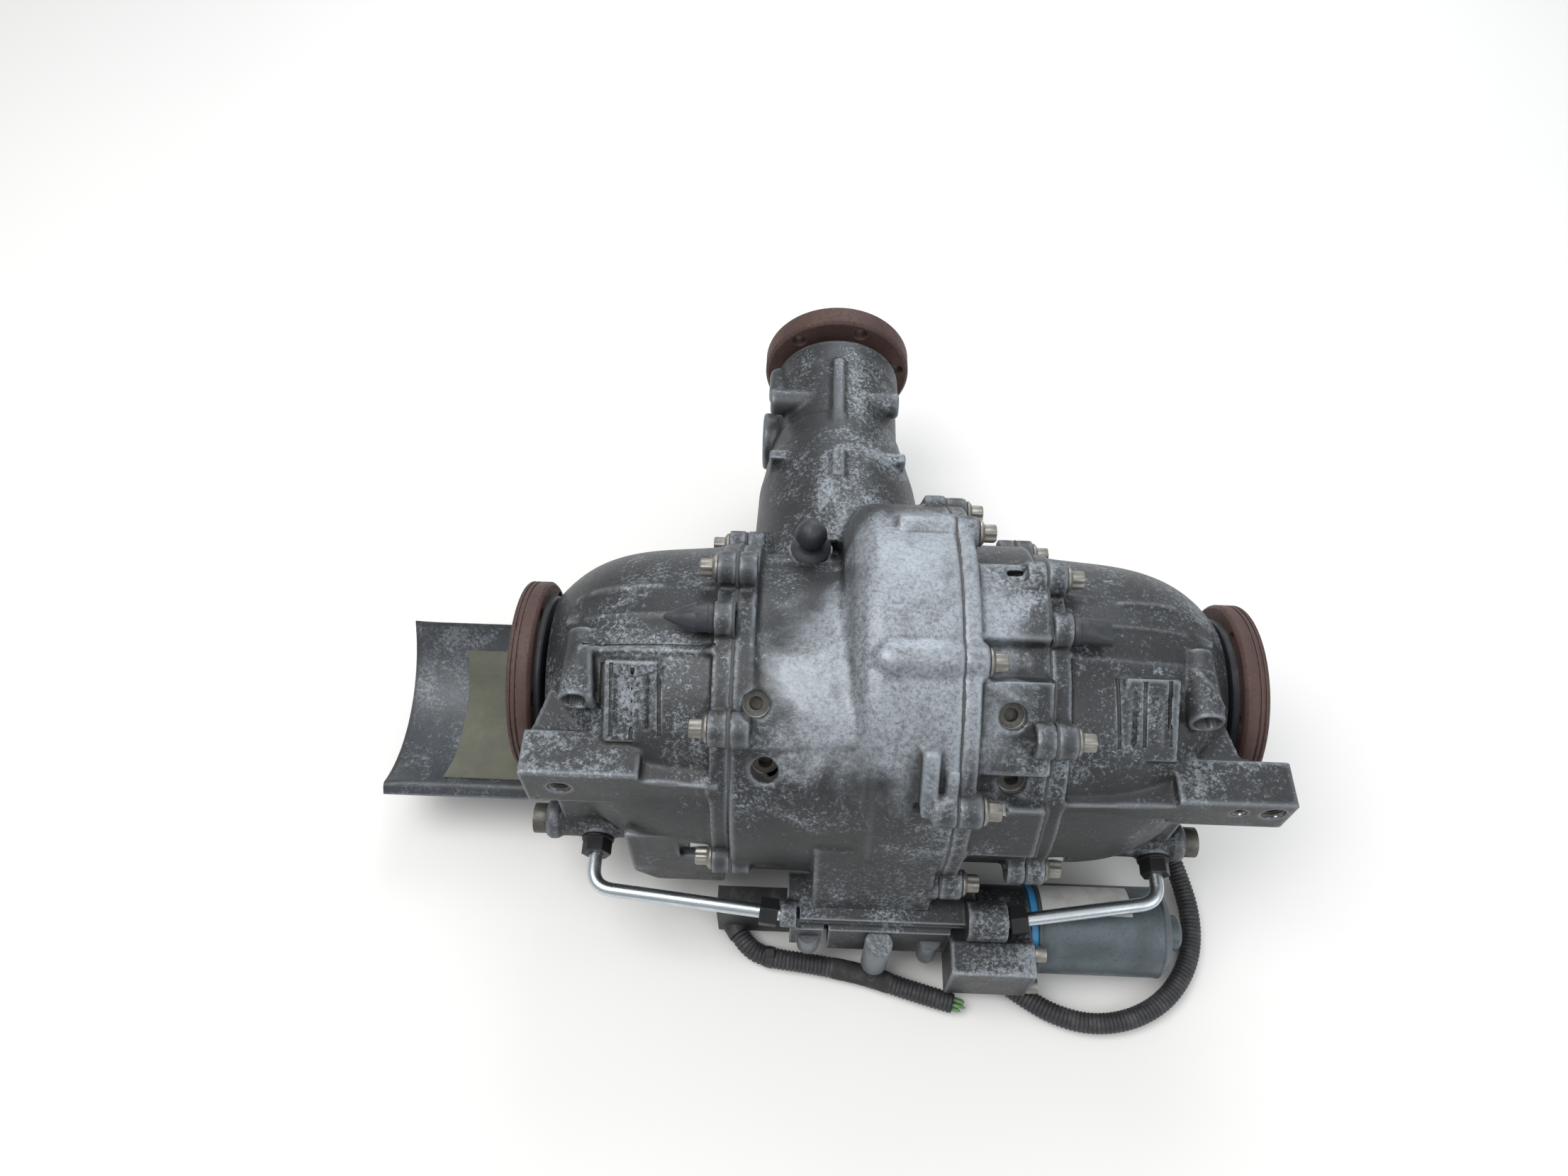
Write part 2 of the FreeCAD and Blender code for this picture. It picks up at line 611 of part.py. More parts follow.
def side_cover(side, parting, label, ear_in, ear_out, ear_hole):
    """Cast cover over the clutch, from its parting face to the output flange."""
    def at(distance):
        return size(distance) * side

    sections = []
    for distance, radius, offset in ((parting, d.cover_r_flange, 9), (d.cover_at_a, d.cover_r_a, 10),
                                     (d.cover_at_b, d.cover_r_b, 7), (d.cover_at_c, d.cover_r_c, 3),
                                     (d.cover_end, d.cover_r_end, 0)):
        sections.append(circle("x", at(distance), -offset * 0.83, -offset * 0.55, radius))
    dome = loft(sections)
    rim = side_rim(at(parting), side, d.cover_flange)
    ribs = []
    for angle, out, reach in ((80, 186, 84), (92, 190, 84), (105, 184, 86)):
        ribs.append(fin(angle, [(at(parting), 60), (at(out), 50), (at(out), reach - 13),
                                (at(d.cover_at_b), reach - 4), (at(parting), reach + 9)], d.fin_thickness))
    for angle in (30, 0, 325, 290, 255):
        ribs.append(fin(angle, [(at(parting), 60), (at(192), 48), (at(192), 58), (at(d.cover_at_b), 74),
                                (at(parting), 90)], d.fin_thickness))
    post = rod("y", at(d.post_x), d.post_z, -d.post_mouth, -d.post_mouth + d.post_length, d.post_radius)
    panel = tilted_block(at(d.panel_in), at(d.panel_out), d.panel_height, 60, d.panel_top, d.panel_angle)
    low_ear = d.ear_z - d.ear_half_height
    high_ear = d.ear_z + d.ear_half_height if side == LEFT else d.right_ear_top
    ear = block(at(ear_in), at(ear_out), -d.ear_face, -d.ear_face + d.ear_depth, low_ear, high_ear)
    arm = slab("xy", [(at(parting + 6), -96), (at(ear_in), -d.ear_face), (at(ear_out - 8), -d.ear_face),
                      (at(ear_out), -d.ear_face + 10), (at(ear_out), -d.ear_face + d.ear_depth),
                      (at(d.cover_end + 1), -d.output_radius - 2), (at(196), -30),
                      (at(parting + 6), -30)], low_ear + 6, high_ear - 6)
    mouth = gallery_mouth(side)
    gallery = rod("x", -d.gallery_y, -d.gallery_z, at(parting + 8), at(mouth - 2), d.gallery_radius)
    collar = rod("x", -d.gallery_y, -d.gallery_z, at(mouth - 10), at(mouth - 4), d.gallery_radius + 2)
    web = block(at(parting + 8), at(mouth - 14), -d.gallery_y - 4, -50, -d.gallery_z - 3, d.ear_z - 10)
    port = rod("y", at(d.pipe_port_x), -d.pipe_port_z, -d.pipe_port_y, -d.gallery_y, d.gallery_radius)
    breather_boss = rod("x", -d.side_cap_y, d.side_cap_z, at(parting), at(parting + d.cover_flange), 10)
    if side == LEFT:
        tab = slab("xz", [(-d.tab_in, -d.tab_top), (-d.tab_out, -d.tab_top), (-d.tab_out, -d.tab_bottom + 14),
                          (-d.tab_out + 14, -d.tab_bottom), (-d.tab_in, -d.tab_bottom)],
                   -d.tab_front - d.tab_thickness, -d.tab_front)
        window = block(-d.tab_in - 26, -d.tab_in - 2, -d.tab_front - d.tab_thickness - 1, -d.tab_front + 1,
                       -38, -13)
        extras = [cut(tab, window), *shield_rods(40, d.shield_radius - 0.6, d.shield_post_radius)]
    else:
        extras = [rod("z", d.sensor_x, -d.sensor_y, -d.sensor_seat, -30, d.sensor_radius + 1)]
    solid = fuse(dome, *rim, *ribs, post, panel, ear, arm, gallery, collar, web, port, breather_boss, *extras)
    clutch_room = lathe("x", 0, 0, [
        (at(parting) - side, 0), (at(parting) - side, d.cavity_radius), (at(d.cover_at_a + 8), d.cavity_radius),
        (at(d.piston_at - 0.5), d.cavity_outer_radius), (at(d.piston_at - 0.5), 0)])
    piston_pocket = tube("x", 0, 0, at(d.piston_at - 1), at(d.piston_at + d.piston_thick + 1),
                         d.piston_radius + d.running_gap, d.piston_bore - d.running_gap)
    shaft_way = rod("x", 0, 0, at(d.piston_at - 1), at(d.output_bearing_at), d.shaft_radius + 9)
    bearing_seat = rod("x", 0, 0, at(d.output_bearing_at), at(d.output_seal_at), d.output_bearing_radius)
    seal_seat = rod("x", 0, 0, at(d.output_seal_at - 1), at(d.cover_end + 1), d.output_seal_radius)
    post_hole = rod("y", at(d.post_x), d.post_z, -d.post_mouth - 1, -d.post_mouth + d.post_depth, d.post_bore)
    ear_bore = rod("y", at(ear_hole), d.ear_z, -d.ear_face - 1, -d.ear_face + d.ear_hole_depth,
                   d.ear_hole_radius)
    cuts = [clutch_room, piston_pocket, shaft_way, bearing_seat, seal_seat, post_hole, ear_bore]
    if side == LEFT:
        cuts += shield_rods(d.shield_radius - 15, d.shield_radius, d.bolt_shank + 0.1)
    else:
        cuts.append(rod("y", at(d.right_ear_small), d.ear_z, -d.ear_face - 1,
                        -d.ear_face + d.ear_hole_depth, d.ear_small_radius))
        cuts.append(rod("z", d.sensor_x, -d.sensor_y, -d.sensor_end, -d.sensor_seat, d.sensor_radius + 0.5))
    for shift in (-9, 0, 9):
        groove = d.panel_in + 15.5 + shift
        cuts.append(tilted_block(at(groove - d.groove_width / 2), at(groove + d.groove_width / 2),
                                 d.panel_height - 14, d.panel_top - d.groove_depth, d.panel_top + 3,
                                 d.panel_angle))
    cuts += bolt_bores(at(parting), side, SIDE_BOLTS, d.bolt_shank + 0.5, 20)
    cuts += spot_faces(at(parting + d.bolt_boss), side, SIDE_BOLTS)
    cuts.append(rod("x", -d.gallery_y, -d.gallery_z, at(150), at(mouth + 1), 5))
    cuts.append(rod("y", at(d.pipe_port_x), -d.pipe_port_z, -d.pipe_port_y - 1, -d.gallery_y, 3.4))
    return node(cut(solid, *cuts), label)


# Gaskets and bolts of the parting faces

def flange_bolts():
    pieces = []
    for side, parting in ((LEFT, d.left_parting), (RIGHT, d.right_parting)):
        seat = (size(parting) + d.bolt_boss) * side
        for radius, angle in SIDE_BOLTS:
            y, z = polar(radius, angle)
            pieces.append(bolt("x", y, z, seat, side, d.bolt_boss + d.bolt_grip - 4))
    node(group(pieces), "side_cover_bolts")
    pieces = []
    for radius, angle in CENTRE_BOLTS:
        y, z = polar(radius, angle)
        pieces.append(bolt("x", y, z, d.centre_parting + d.joint_boss, RIGHT, d.joint_boss + d.bolt_grip - 4))
    node(group(pieces), "centre_flange_bolts")


# Crown wheel and pinion

def bevel_tooth(apex, generator, normal, outer, inner, rise, drop, half_pitch_width):
    """One straight bevel tooth whose section shrinks towards the apex."""
    side = generator.cross(normal)
    slope = math.tan(math.radians(20))
    wires = []
    for reach in (outer, inner):
        share = reach / outer
        centre = apex + generator * reach
        corners = []
        for height, sign in ((-drop, -1), (rise, -1), (rise, 1), (-drop, 1)):
            half = (half_pitch_width - height * slope) * sign
            corners.append(centre + normal * (height * share) + side * (half * share))
        wires.append(Part.makePolygon(corners + corners[:1]))
    return Part.makeLoft(wires, True, True)


def turned_blank(points, origin, axis):
    """Solid of revolution from (along, radius) points."""
    side = Vector(1, 0, 0) if abs(axis.z) > 0.5 else Vector(0, 0, 1)
    corners = [origin + axis * a + side * r for a, r in points]
    face = Part.Face(Part.makePolygon(corners + corners[:1]))
    return face.revolve(origin, axis, 360)


def bevel_gear(apex, axis, teeth, mate_teeth, pitch_radius, width, rise, drop, share, phase, points, bore):
    """Straight bevel gear about an axis through the apex; the mesh side is at phase 0 from its datum."""
    cone = math.atan2(teeth, mate_teeth)
    reach = pitch_radius / math.sin(cone)
    half_width = math.pi * pitch_radius / teeth / 2 * share
    datum = Vector(0, 1, 0) if abs(axis.x) > 0.5 else Vector(1, 0, 0)
    cross = axis.cross(datum)
    teeth_solids = []
    for index in range(teeth):
        turn = 2 * math.pi * (index + phase) / teeth
        spoke = datum * math.cos(turn) + cross * math.sin(turn)
        generator = axis * math.cos(cone) + spoke * math.sin(cone)
        normal = spoke * math.cos(cone) - axis * math.sin(cone)
        teeth_solids.append(bevel_tooth(apex, generator, normal, reach, reach - width, rise, drop + 0.6,
                                        half_width))
    past = (reach + d.blank_margin.value) / reach
    root_out = (past * (reach * math.cos(cone) + drop * math.sin(cone)),
                past * (reach * math.sin(cone) - drop * math.cos(cone)))
    shrink = (reach - width - d.blank_margin.value) / reach / past
    root_in = (root_out[0] * shrink, root_out[1] * shrink)
    blank = turned_blank(points(root_in, root_out), apex, axis)
    gear = blank.fuse(teeth_solids)
    if bore:
        gear = gear.cut(Part.makeCylinder(bore, 400, apex - axis * 200, axis))
    return gear


RING_BOLTS = 10


def ring_bolt_places():
    """Y and Z of each bolt that holds the crown wheel."""
    return [polar(d.ring_bolt_circle, 360 / RING_BOLTS * index) for index in range(RING_BOLTS)]


def crown_wheel():
    apex = Vector(pinion_x.value, 0, 0)

    def profile(root_in, root_out):
        back = d.axle_offset.value + d.ring_back.value
        rim = root_out[1] + 3
        return [(root_in[0], root_in[1] - 2), root_in, root_out, (root_out[0] + 5, rim), (back, rim),
                (back, d.ring_bore.value - 1), (root_in[0] + 4, d.ring_bore.value - 1)]

    gear = bevel_gear(apex, Vector(1, 0, 0), int(d.ring_teeth.value), int(d.pinion_teeth.value),
                      d.ring_pitch_radius.value, d.face_width.value, d.tooth_rise.value, d.tooth_drop.value,
                      d.tooth_share.value, 0.5, profile, d.ring_bore.value)
    holes = []
    for y, z in ring_bolt_places():
        centre = Vector(d.ring_back.value - 16, y.value, z.value)
        holes.append(Part.makeCylinder(d.bolt_shank.value + 0.1, 20, centre, Vector(1, 0, 0)))
    return solid_node(gear.cut(holes), "ring_gear")


def pinion_shaft():
    apex = Vector(pinion_x.value, 0, 0)

    def profile(root_in, root_out):
        journal, stem = d.pinion_journal.value, d.pinion_stem.value
        rear = d.rear_bearing_y.value
        front = d.front_bearing_y.value + d.front_bearing_width.value
        return [(root_in[0], 0), root_in, root_out, (rear - 0.5, root_out[1] - 1), (rear - 0.5, journal),
                (rear + d.rear_bearing_width.value + 2, journal), (rear + d.rear_bearing_width.value + 4, stem),
                (front, stem), (front, stem - 1), (d.nose_length.value - 3, stem - 1),
                (d.nose_length.value - 2, stem - 3), (d.nose_length.value - 2, 0)]

    gear = bevel_gear(apex, Vector(0, 1, 0), int(d.pinion_teeth.value), int(d.ring_teeth.value),
                      d.ring_pitch_radius.value * d.pinion_teeth.value / d.ring_teeth.value, d.face_width.value,
                      d.tooth_rise.value, d.tooth_drop.value, d.tooth_share.value, 0.0, profile, 0)
    return solid_node(gear, "pinion_shaft")


def input_flange():
    hub_start = d.front_bearing_y + d.front_bearing_width
    disc_back = d.nose_length - d.input_thickness
    disc = lathe("y", pinion_x, 0, [
        (hub_start, d.pinion_stem), (hub_start, d.input_hub), (disc_back - 4, d.input_hub),
        (disc_back, d.input_hub + 6), (disc_back, d.input_radius - 2), (disc_back + 2, d.input_radius),
        (d.nose_length - 1, d.input_radius), (d.nose_length, d.input_radius - 1),
        (d.nose_length, d.input_recess), (d.nose_length - d.input_recess_depth, d.input_recess),
        (d.nose_length - d.input_recess_depth, d.input_hub - 2),
        (d.nose_length - d.input_recess_depth - 9, d.input_hub - 2),
        (d.nose_length - d.input_recess_depth - 9, d.pinion_stem)])
    holes = []
    for index in range(6):
        turn = math.radians(60 * index + 10)
        holes.append(rod("y", pinion_x + d.input_pcd_radius * math.cos(turn),
                         d.input_pcd_radius * math.sin(turn), disc_back - 1, d.nose_length + 1, d.input_hole))
    return node(cut(disc, *holes), "input_flange")


def pinion_parts():
    nut_seat = d.nose_length - d.input_recess_depth - 9
    nut = cut(hexagon("y", pinion_x, 0, nut_seat, nut_seat + 9, d.input_hub - 3.5),
              rod("y", pinion_x, 0, nut_seat - 1, nut_seat + 12, d.pinion_stem - 0.9))
    node(nut, "pinion_nut")
    rear_end = d.rear_bearing_y + d.rear_bearing_width
    bore = d.pinion_journal + 0.2
    spacer = lathe("y", pinion_x, 0, [
        (rear_end, bore), (rear_end, bore + 4), (rear_end + 26, bore + 3), (rear_end + 36, bore + 7),
        (rear_end + 46, bore + 3), (d.front_bearing_y, bore + 3), (d.front_bearing_y, bore)])
    node(spacer, "pinion_spacer")
    cups, cones = [], []
    for start, width, outer, inner, small in (
            (d.rear_bearing_y, d.rear_bearing_width, d.rear_bearing_radius, d.pinion_journal, RIGHT),
            (d.front_bearing_y, d.front_bearing_width, d.front_bearing_radius, d.pinion_stem, LEFT)):
        cup, cone = tapered_bearing("y", pinion_x, start, width, outer, inner, small)
        cups.append(cup)
        cones.append(cone)
    node(group(cups), "pinion_bearing_cups")
    node(group(cones), "pinion_bearing_cones")


def tapered_bearing(axis, across, start, width, outer, inner, small_end):
    """Cup and roller cone of a tapered bearing; small_end is the side of its smaller rollers."""
    start, width = size(start), size(width)
    end = start + width
    middle = (size(outer) + inner) * 0.5
    steep = width * 0.12
    grow = steep * small_end
    high, low = middle + 3.5 + grow, middle + 3.5 - grow
    cup = lathe(axis, across, 0, [(start, outer), (end, outer), (end, low), (start, high)])
    cone = lathe(axis, across, 0, [(start, inner), (end, inner), (end, low - d.fit_gap), (start, high - d.fit_gap)])
    return cup, cone


# Differential case with its gears

def case_centre():
    return (d.ring_back - d.case_left) * 0.5 - 6


def differential_case():
    mid = case_centre()
    left_end, right_end = -d.left_journal_end, d.right_journal_end
    flange_face = d.ring_back
    body = lathe("x", 0, 0, [
        (left_end, d.journal_bore), (left_end, d.journal_radius), (-d.case_left - 4, d.journal_radius),
        (-d.case_left, d.journal_radius + 8), (-d.case_left + 8, d.case_radius - 4), (mid - 14, d.case_radius),
        (mid + 14, d.case_radius), (flange_face - 16, d.ring_bore - 0.5), (flange_face, d.ring_bore - 0.5),
        (flange_face, d.case_flange_radius), (flange_face + d.case_flange_thick, d.case_flange_radius),
        (flange_face + d.case_flange_thick, d.journal_radius + 12),
        (flange_face + d.case_flange_thick + 12, d.journal_radius + 6),
        (flange_face + d.case_flange_thick + 16, d.journal_radius), (right_end, d.journal_radius),
        (right_end, d.journal_bore)])
    room = rod("x", 0, 0, mid - 27, mid + 27, 40)
    windows = rod("y", mid, 0, -70, 70, 19)
    pin_hole = rod("z", mid, 0, -70, 70, d.pin_radius + 0.05)
    holes = []
    for y, z in ring_bolt_places():
        holes.append(rod("x", y, z, flange_face - 1, flange_face + d.case_flange_thick + 1, d.bolt_shank + 0.4))
    return node(cut(body, room, windows, pin_hole, *holes), "differential_case")


def ring_gear_bolts():
    pieces = []
    seat = d.ring_back + d.case_flange_thick
    for y, z in ring_bolt_places():
        pieces.append(bolt("x", y, z, seat, RIGHT, d.case_flange_thick + 13))
    return node(group(pieces), "ring_gear_bolts")


def small_gears():
    """Two side gears on the outputs and two spider gears on the cross pin."""
    mid = case_centre().value
    centre = Vector(mid, 0, 0)
    side_teeth, spider_teeth = int(d.side_teeth.value), int(d.spider_teeth.value)
    spider_pitch = d.side_pitch_radius.value * spider_teeth / side_teeth

    def side_profile(root_in, root_out):
        back = root_out[0] + 6
        return [(root_in[0], 0), root_in, root_out, (back, root_out[1]), (back, 18.6), (back + 8, 18.6),
                (back + 8, 0)]

    def spider_profile(root_in, root_out):
        return [(root_in[0], 0), root_in, root_out, (37, root_out[1] - 1), (37, 0)]

    for label, direction in (("left_side_gear", LEFT), ("right_side_gear", RIGHT)):
        gear = bevel_gear(centre, Vector(direction, 0, 0), side_teeth, spider_teeth, d.side_pitch_radius.value,
                          d.bevel_width.value, d.small_rise.value, d.small_drop.value, d.tooth_share.value,
                          0.5, side_profile, d.shaft_radius.value)
        solid_node(gear, label)
    for label, direction in (("upper_spider_gear", 1), ("lower_spider_gear", -1)):
        gear = bevel_gear(centre, Vector(0, 0, direction), spider_teeth, side_teeth, spider_pitch,
                          d.bevel_width.value, d.small_rise.value, d.small_drop.value, d.tooth_share.value,
                          0.0, spider_profile, d.pin_radius.value + d.running_gap.value)
        solid_node(gear, label)
    pin = rod("z", case_centre(), 0, -d.pin_half_length, d.pin_half_length, d.pin_radius)
    node(pin, "cross_pin")


def carrier_bearings():
    cups, cones = [], []
    for start, small in ((-d.left_journal_end, LEFT), (d.right_journal_end - d.bearing_width, RIGHT)):
        cup, cone = tapered_bearing("x", 0, start, d.bearing_width, d.bearing_bore, d.journal_radius, small)
        cups.append(cup)
        cones.append(cone)
    node(group(cups), "carrier_bearing_cups")
    node(group(cones), "carrier_bearing_cones")


# Outputs

def output_side(side, name):
    def at(distance):
        return size(distance) * side

    mid = case_centre()
    inner_end = mid + 13 * side
    plates_end = d.plates_start + d.plate_pitch * d.plate_count
    shaft = lathe("x", 0, 0, [
        (inner_end, 0), (inner_end, d.shaft_radius), (at(d.plates_start - 4), d.shaft_radius),
        (at(d.plates_start - 4), d.hub_radius), (at(plates_end), d.hub_radius),
        (at(plates_end), d.shaft_radius + 4),
        (at(d.output_bearing_at), d.shaft_radius + 4), (at(d.output_bearing_at), d.shaft_radius + 2),
        (at(d.hub_start), d.shaft_radius + 2), (at(d.hub_start), d.shaft_radius - 2),
        (at(d.half_span - 8), d.shaft_radius - 2), (at(d.half_span - 8), 0)])
    node(shaft, name + "_output_shaft")
    disc_back = d.half_span - d.output_thickness
    outline = [
        (at(d.hub_start), d.shaft_radius - 2), (at(d.hub_start), d.output_hub), (at(disc_back), d.output_hub),
        (at(disc_back), d.output_radius - 2), (at(disc_back + 2), d.output_radius)]
    for start in (d.half_span - 6.5, d.half_span - 3.6):
        outline += [(at(start), d.output_radius), (at(start), d.output_radius - d.rim_groove),
                    (at(start + 1), d.output_radius - d.rim_groove), (at(start + 1), d.output_radius)]
    outline += [(at(d.half_span - 1), d.output_radius), (at(d.half_span), d.output_radius - 1),
                (at(d.half_span), d.output_recess), (at(d.half_span - d.output_recess_depth), d.output_recess),
                (at(d.half_span - d.output_recess_depth), d.shaft_radius - 2)]
    disc = lathe("x", 0, 0, outline)
    holes = []
    for index in range(6):
        y, z = polar(d.output_pcd_radius, 60 * index + 15)
        holes.append(rod("x", y, z, at(disc_back - 1), at(d.half_span + 1), d.output_hole))
    node(cut(disc, *holes), name + "_output_flange")
    dust_ring = lathe("x", 0, 0, [
        (at(disc_back - d.dust_ring_width), d.output_hub),
        (at(disc_back - d.dust_ring_width), d.dust_ring_radius - 1),
        (at(disc_back - d.dust_ring_width + 1), d.dust_ring_radius), (at(disc_back), d.dust_ring_radius),
        (at(disc_back), d.output_hub)])
    node(dust_ring, name + "_dust_ring")
    drum = lathe("x", 0, 0, [
        (at(d.drum_start), d.shaft_radius + d.running_gap), (at(d.drum_start), d.drum_radius),
        (at(d.drum_end), d.drum_radius),
        (at(d.drum_end), d.drum_radius - d.drum_wall), (at(d.drum_start + 3), d.drum_radius - d.drum_wall),
        (at(d.drum_start + 3), d.shaft_radius + d.running_gap)])
    node(drum, name + "_clutch_drum")
    friction, steel = [], []
    for index in range(int(d.plate_count.value)):
        start = d.plates_start + d.plate_pitch * index
        friction.append(tube("x", 0, 0, at(start), at(start + d.clutch_plate), d.drum_radius - d.drum_wall - 3,
                             d.hub_radius))
        steel.append(tube("x", 0, 0, at(start + 2.5), at(start + 2.5 + d.clutch_plate),
                          d.drum_radius - d.drum_wall, d.hub_radius + 3))
    node(group(friction), name + "_friction_plates")
    node(group(steel), name + "_steel_plates")
    nose_at = plates_end - d.plate_pitch + 2.5 + d.clutch_plate + d.piston_travel + d.fit_gap
    piston = lathe("x", 0, 0, [
        (at(nose_at), d.piston_nose), (at(nose_at), d.piston_nose + 10), (at(d.piston_at), d.piston_nose + 10),
        (at(d.piston_at), d.piston_radius), (at(d.piston_at + d.piston_thick), d.piston_radius),
        (at(d.piston_at + d.piston_thick), d.piston_bore), (at(d.piston_at), d.piston_bore),
        (at(d.piston_at), d.piston_nose)])
    node(piston, name + "_clutch_piston")


def output_bearings():
    pieces = []
    for side in (LEFT, RIGHT):
        start = d.output_bearing_at * side
        end = (d.output_bearing_at + d.output_bearing_width) * side
        pieces.append(tube("x", 0, 0, start, end, d.output_bearing_radius, d.shaft_radius + 2 + d.running_gap))
    node(group(pieces), "output_bearings")


def shaft_seals():
    pieces = []
    for side in (LEFT, RIGHT):
        start = (d.output_seal_at + 0.5) * side
        end = (d.cover_end + 1.5) * side
        pieces.append(tube("x", 0, 0, start, end, d.output_seal_radius, d.output_hub + d.running_gap))
    pieces.append(tube("y", pinion_x, 0, d.input_seal_y, d.input_seal_y + d.input_seal_width,
                       d.input_seal_radius, d.input_hub + d.running_gap))
    node(group(pieces), "shaft_seals")


# Breather caps

def breathers():
    seat = d.cap_seat
    dome = lathe("z", -d.cap_x, d.cap_y, [
        (seat, 0), (seat, 9.5), (seat + 2, 10.5), (seat + 5, 9), (seat + 7, 7.5), (seat + 12, 9),
        (seat + 20, 8), (seat + 25, 4), (seat + 26, 0)])
    node(dome, "centre_breather")
    base = -d.left_parting - d.cover_flange
    wide = d.side_cap_radius
    cone = lathe("x", -d.side_cap_y, d.side_cap_z, [
        (base, 0), (base, wide), (base - 10, wide), (base - 12, wide - 0.5), (base - 28, 1.5), (base - 29, 0)])
    node(cone, "left_breather")
    base = d.right_parting + d.cover_flange
    flat = lathe("x", -d.side_cap_y, d.side_cap_z, [
        (base, 0), (base, wide), (base + 4, wide), (base + 5, wide - 1), (base + 19, wide - 1),
        (base + 22, 5), (base + 22, 0)])
    node(flat, "right_breather")


# Oil supply unit

def oil_unit():
    """Valve manifold under the neck, with the pump and its motor on the right."""
    top = -d.neck_bottom
    under = top - d.plate_thick
    plate = block(-d.plate_left, d.plate_right, -d.plate_back, -d.plate_front, under, top)
    groove = block(-d.plate_left + 6, d.plate_right - 6, -d.plate_back - 1, -d.plate_back + d.plate_groove,
                   under + 2.5, top - 2.5)
    side_block = block(-d.side_block_left, -d.side_block_right, -d.block_back, -d.block_front,
                       -d.side_block_bottom, under)
    body = block(-d.body_left, d.pump_left, -d.block_back, -d.block_front, -d.body_bottom, under)
    bridge = block(-d.side_block_right, -d.body_left, -d.block_back + 8, -d.block_front,
                   -d.side_block_bottom + 6, under)
    union = rod("x", -d.unit_y, -d.unit_z, d.union_start, d.union_right, d.union_radius)
    left_end = -d.left_union_end
    left_union = rod("x", -d.unit_y, -d.unit_z, left_end, -d.plate_left + 6, d.left_union_radius)
    bores = [rod("x", -d.unit_y, -d.unit_z, left_end - 1, left_end + d.union_depth, d.union_bore),
             rod("x", -d.unit_y, -d.unit_z, d.union_right + 1, d.union_right - d.union_depth, d.union_bore)]
    node(cut(fuse(plate, side_block, body, bridge, union, left_union), groove, *bores, *valve_bodies()),
         "oil_manifold")
    node(group(valve_bodies()), "solenoid_valves")
    pump = block(d.pump_left, d.pump_right, -d.pump_back, -d.pump_front, -d.pump_bottom, -d.pump_top)
    pump_round = rod("x", -d.motor_y, -d.motor_z, d.pump_left + 20, d.pump_right, d.motor_radius - 2)
    shaft_hole = rod("x", -d.motor_y, -d.motor_z, d.pump_left + 30, d.pump_right + 1, d.motor_shaft + d.fit_gap)
    union_room = rod("x", -d.unit_y, -d.unit_z, d.pump_left - 1, d.pump_right + 1, d.union_radius + 2)
    drive_hole = block(d.pump_right - 22, d.pump_right - 12, -d.pump_back + 3, -d.pump_back + 13,
                       -d.pump_bottom - 1, -d.pump_bottom + 8)
    screw_holes = [rod("x", y, z, d.pump_right - 14, d.pump_right + 1, d.screw_radius + 0.1)
                   for y, z in PUMP_SCREWS]
    node(cut(fuse(pump, pump_round), shaft_hole, union_room, drive_hole, *screw_holes), "pump_block")
    start, end, boss_end = d.motor_left, d.motor_right, d.motor_right + d.motor_boss_length
    inside = d.motor_radius - d.motor_wall
    can = lathe("x", -d.motor_y, -d.motor_z, [
        (start, d.motor_shaft + 2), (start, d.motor_radius), (end - 4, d.motor_radius), (end, d.motor_radius - 4),
        (end, d.motor_boss), (boss_end - 2, d.motor_boss), (boss_end, d.motor_boss - 2), (boss_end, 0),
        (end + 4, 0), (end + 4, 5), (end - d.motor_wall, 5), (end - d.motor_wall, inside),
        (start + d.motor_wall, inside), (start + d.motor_wall, d.motor_shaft + 2)])
    node(can, "motor_can")
    seal = tube("x", -d.motor_y, -d.motor_z, d.pump_right, start, d.motor_radius - 0.5, d.motor_shaft + 4)
    node(seal, "motor_seal_ring")
    rotor = lathe("x", -d.motor_y, -d.motor_z, [
        (d.pump_left + 32, 0), (d.pump_left + 32, d.motor_shaft), (start + 12, d.motor_shaft),
        (start + 12, d.rotor_radius), (end - 14, d.rotor_radius), (end - 14, d.motor_shaft),
        (end + 3, d.motor_shaft), (end + 3, 0)])
    node(rotor, "motor_rotor")
    screws = []
    head_end = d.pump_right + d.screw_head_height
    for y, z in PUMP_SCREWS:
        shank = rod("x", y, z, d.pump_right - 13, d.pump_right, d.screw_radius)
        head = rod("x", y, z, d.pump_right, head_end, d.screw_head)
        socket = hexagon("x", y, z, head_end - 3, head_end + 1, d.screw_radius)
        screws.append(cut(fuse(shank, head), socket))
    node(group(screws), "unit_bolts")


# Solenoid bodies: x, y, lower end, upper end, radius
VALVES = ((-40, -138, -92, -70, 7), (3, -146, -100, -60, 8.5), (36, -140, -99, -72, 6))


def valve_bodies():
    return [rod("z", x, y, bottom, upper, radius) for x, y, bottom, upper, radius in VALVES]


# Screws that hold the motor's flange: y, z
PUMP_SCREWS = ((-147, -66), (-157.5, -99))


# Steel oil pipes

def pipe_path(points, radii):
    """Straight runs joined by tangent arcs at the inner points."""
    edges = []
    start = points[0]
    for index in range(1, len(points) - 1):
        before, corner, after = points[index - 1], points[index], points[index + 1]
        into = (corner - before).normalize()
        away = (after - corner).normalize()
        turn = into.getAngle(away)
        setback = radii[index - 1] * math.tan(turn / 2)
        first, last = corner - into * setback, corner + away * setback
        bulge = (away - into).normalize() * (radii[index - 1] * (1 / math.cos(turn / 2) - 1))
        if (first - start).Length > 1e-6:
            edges.append(Part.LineSegment(start, first).toShape())
        edges.append(Part.Arc(first, corner + bulge, last).toShape())
        start = last
    edges.append(Part.LineSegment(start, points[-1]).toShape())
    return Part.Wire(edges)


